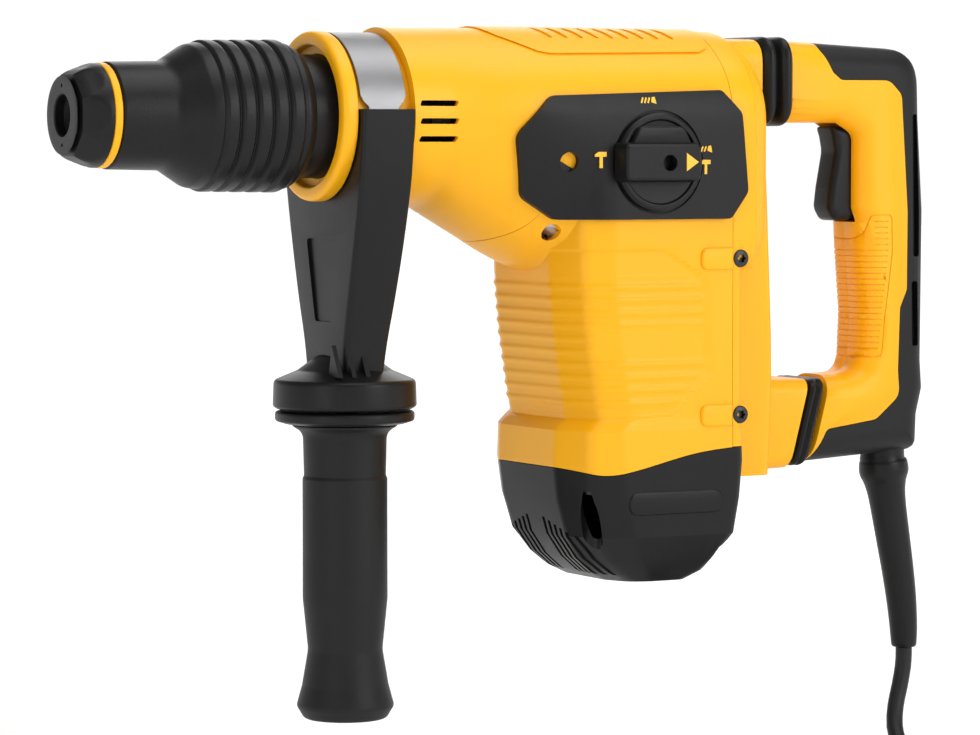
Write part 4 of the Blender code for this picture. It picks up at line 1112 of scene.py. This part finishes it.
def make_bellows():
    rings = []
    profile = curve_through([
        (351, 1.6), (352, 3.4), (354.6, 5.4), (357.4, 4.4), (359.6, 0.9), (361.8, 4.2), (364.8, 5.4),
        (367.2, 3.4), (368.3, 1.6),
    ], 4)
    for x, out in profile:
        w, h, corner = 21.4 + out, 16.6 + out * 0.9, 9 + out * 0.5
        rings.append([(x, y, 17.4 + z) for y, z in rounded(oblong(-w, w, -h, h, corner), 8)])
    for x in (368.3, 351):
        rings.append([(x, y, 17.4 + z) for y, z in rounded(oblong(-14, 14, -13, 13, 5), 8)])
    bellows = lofted("bellows_shell", rings, closed=True)
    show(bellows, "black_rubber", "hammer_body", "upper_bellows")
    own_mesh(bellows)

    rings = []
    profile = curve_through([
        (0.3, 0.9), (0.9, 0.2), (2.6, -0.5), (4.1, 0.5), (5.6, -0.5), (7.3, 0.2), (7.9, 0.9),
    ], 4)
    for shift, inward in profile + [(7.9, 6), (0.3, 6)]:
        w, low, high = 19.6 - inward, -168.2 + inward, -126.8 - inward
        corner = 7 - inward
        outline = rounded(oblong(-w, w, low, high, corner), 8)
        rings.append([(383 + shift + 0.266 * (z + 126.8), y, z) for y, z in outline])
    gaiter = lofted("gaiter_shell", rings, closed=True)
    show(gaiter, "black_rubber", "hammer_body", "lower_gaiter")
    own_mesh(gaiter)


def make_spring(name, centre, start, end, radius, wire, turns):
    """A round-wire helix along x."""
    rings = []
    for i in range(turns * 32 + 1):
        along = start + wire + (end - start - 2 * wire) * i / (turns * 32)
        ring = []
        for a in turn_angles(12):
            ring.append(turn_point("X", centre, along + wire * math.sin(a), radius + wire * math.cos(a),
                                   2 * math.pi * i / 32))
        rings.append(ring)
    return lofted(name, rings)


def make_springs():
    """Both springs as round-wire helices built at one length; in the tool they flatten as the handle floats
    and as the sleeve is pulled.
    """
    damper = make_spring("damper_coil", (0, 0, 17.5), 338.5, 377.6, 8.6, 1.5, 5)
    show(damper, "bright_steel", "hammer_body", "damper_spring")
    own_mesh(damper)
    latch = make_spring("lock_coil", (0, 0, 0), 24.8, 61.2, 18.4, 1.2, 6)
    show(latch, "bright_steel", "spindle", "lock_spring")
    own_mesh(latch)


# ---------------- side handle
def band_path(radius):
    """(y, z, share of the wide width) round the neck, then down and inwards to the clamp nut."""
    tilt = math.radians(-30)
    y, z = radius * math.cos(tilt), radius * math.sin(tilt)
    tail = 33
    path = [(y - tail * math.sin(-tilt), z - tail * math.cos(tilt), 0)]
    for degrees in range(-30, 91, 4):
        angle = math.radians(degrees)
        wide = step(degrees, 5, 13)
        path.append((radius * math.cos(angle), radius * math.sin(angle), wide))
    return path + [(-y, z, wide) for y, z, wide in reversed(path[:-1])]


def make_clamp_band():
    inner, outer = band_path(NECK_R + 1), band_path(NECK_R + 2.5)
    rings = []
    middle = 140.4
    for (y0, z0, wide), (y1, z1, _) in zip(inner, outer):
        half = 7.6 + 4 * wide
        low, high = middle - half, middle + half
        rings.append([(low, y0, z0), (high, y0, z0), (high, y1, z1), (low, y1, z1)])
    band = lofted("band_shell", rings)
    soften(band, 0.35, 2, 40)
    show(band, "bright_steel", "side_handle", "clamp_band")


def make_yoke():
    rings = []
    for z, front, back, w, r in curve_through([
        (3, 127.9, 154.6, 42.6, 2), (-16, 128, 154.4, 41.2, 2), (-33, 128, 154.2, 39, 2.2),
        (-60, 128, 153.4, 33.2, 2.6), (-84, 128.2, 152.2, 27.4, 3), (-103, 128.6, 151, 22.6, 3.4),
        (-120, 129, 149.8, 20.4, 4),
    ], 3):
        corners = [(front, -w, r), (back, -w, r), (back, w, r), (front, w, r)]
        rings.append([(x, y, z) for x, y in rounded(corners, 5)])
    yoke = lofted("yoke_shell", rings)
    flange = turned("flange", "Z", (SIDE_X, 0, 0), rounded([
        (-106, 0, 0), (-110, 13, 6), (-116.5, 22, 6), (-121, 32.8, 3), (-132.8, 33.2, 1.6),
        (-134, 31.6, 0.5), (-134, 0, 0),
    ], 6), 96)
    join(yoke, flange)
    cut(yoke, rod("neck_room", "X", (0, 0, 0), 120, 165, NECK_R + 0.4, 96))
    pocket = [
        (40, 10), (40, -4), (36, -20), (18.5, -58), (-18.5, -58), (-36, -20),
        (-40, -4), (-40, 10),
    ]
    cut(yoke, cross_slab("band_room", pocket, 132.4, 148.4))
    panel = rounded([(-16.5, -56, 2), (16.5, -56, 2), (8.5, -94, 2), (-8.5, -94, 2)], 4)
    cut(yoke, cross_slab("front_panel", panel, 120, 129.4))
    for side in (-1, 0, 1):
        join(yoke, lofted("gusset", [
            [(x, side * 9 + y, z) for x, z in ((127.5, -116.5), (132, -103), (134, -116.5))]
            for y in (-1.1, 1.1)
        ]))
        join(yoke, lofted("gusset", [
            [(SIDE_X - 8 + side * 7 + x, y, z) for y, z in ((-19, -104), (-26.5, -118.5), (-16, -118.5))]
            for x in (-1.1, 1.1)
        ]))
    cut(yoke, rod("rod_hole", "Z", (SIDE_X, 0, 0), -150, -40, 4.4, 24))
    soften(yoke, 0.7, 3, 40)
    show(yoke, "black_plastic", "side_handle", "handle_yoke")


def make_side_grip():
    disc = turned("disc_shell", "Z", (SIDE_X, 0, 0), rounded([
        (-134.9, 4.4, 0.2), (-134.9, 29, 0.6), (-135.4, 32.2, 1.6), (-139.6, 32.2, 1.6), (-140.9, 28, 1.2),
        (-141, 4.4, 0.2),
    ], 5), 96)
    show(disc, "black_rubber", "side_handle", "clamp_disc")
    grip = turned("grip_shell", "Z", (SIDE_X, 0, 0), rounded([
        (-141.3, 0, 0), (-141.3, 26, 1.2), (-145, 19.4, 6), (-165, 18.9, 0.6), (-166.4, 19.6, 1.2),
        (-222, 19.6, 24), (-245.5, 17.2, 14), (-262, 20, 10), (-271.5, 22.6, 3), (-277.6, 19, 3.4),
        (-277.6, 0, 0),
    ], 8), 96)
    cut(grip, rod("rod_hole", "Z", (SIDE_X, 0, 0), -236, -130, 4.3, 24))
    show(grip, "soft_grip", "side_grip", "side_grip")


def make_strain_relief():
    rings = []
    rows = curve_through([
        (0, 10.9), (0.13, 10.9), (0.165, 12), (0.21, 12.2), (0.26, 10.3), (0.34, 9.1), (0.56, 8.3),
        (0.78, 7.5), (0.97, 6.5), (1, 5.6),
    ], 6)
    for t, radius in rows:
        middle = relief_axis(max(0, t))
        ahead = (relief_axis(t + 0.01) - relief_axis(t)).normalized()
        if t < 0.15:
            middle = Vector((437, 0, middle.z))
            ahead = Vector((0, 0, -1))
        side = Vector((0, 1, 0))
        out = side.cross(ahead)
        ring = []
        for a in turn_angles(48):
            ring.append(tuple(middle + side * radius * math.cos(a) + out * radius * math.sin(a)))
        rings.append(ring)
    relief = lofted("relief_shell", rings)
    show(relief, "black_rubber", "rear_handle", "strain_relief")


# ---------------- screws
def screw(name, centre, axis, outward, radius):
    """A pan head with a six-lobed socket, facing outward along its axis."""
    profile = rounded([
        (-3 * outward, 0, 0), (-3 * outward, radius, 0.2), (0.9 * outward, radius, 1),
        (1.4 * outward, 0, 0),
    ], 5)
    head = turned(name, axis, centre, profile, 32)
    lobes = []
    for along in (-0.8 * outward, 3 * outward):
        ring = []
        for a in turn_angles(36):
            ring.append(turn_point(axis, centre, along, radius * (0.46 + 0.09 * math.cos(6 * a)), a))
        lobes.append(ring)
    cut(head, lofted("socket", lobes))
    show(head, "dark_steel", "hammer_body")


def make_screws():
    for side, word in ((-1, "left"), (1, "right")):
        for z, place in ((-66.4, "upper"), (-140, "lower")):
            screw("cover_screw_" + word + "_" + place, (322.6, side * 49.6, z), "Y", side, 4.2)
        screw("cap_screw_" + word, (248, side * 38.6, -174.6), "Z", -1, 3.6)
        screw("housing_screw_" + word, (229.5, side * 24.6, -53.5), "Y", side, 3.6)


def finish_inner_parts():
    """Every CAD node that is still shown, mostly inside, gets the look of its own slot."""
    slots = {entry["node"]: entry["material_slot"] for entry in frame["record"]["subparts"]}
    for name, node in frame["nodes"].items():
        node.data.materials.clear()
        node.data.materials.append(LOOKS[slots[name]])
        shade(node, 35)


make_camera()
make_cord()
finish_inner_parts()
make_studio()
make_nose_cap()
make_sleeve()
make_gear_housing()
make_vent_cover()
make_motor_housing()
make_motor_cap()
make_rear_cover()
make_selector_plate()
make_selector_knob()
make_signs()
make_handle_shell("left_half_shell", -1, "handle_left_shell")
make_handle_shell("right_half_shell", 1, "handle_right_shell")
make_overmould()
make_trigger()
make_bellows()
make_springs()
make_clamp_band()
make_yoke()
make_side_grip()
make_strain_relief()
make_screws()
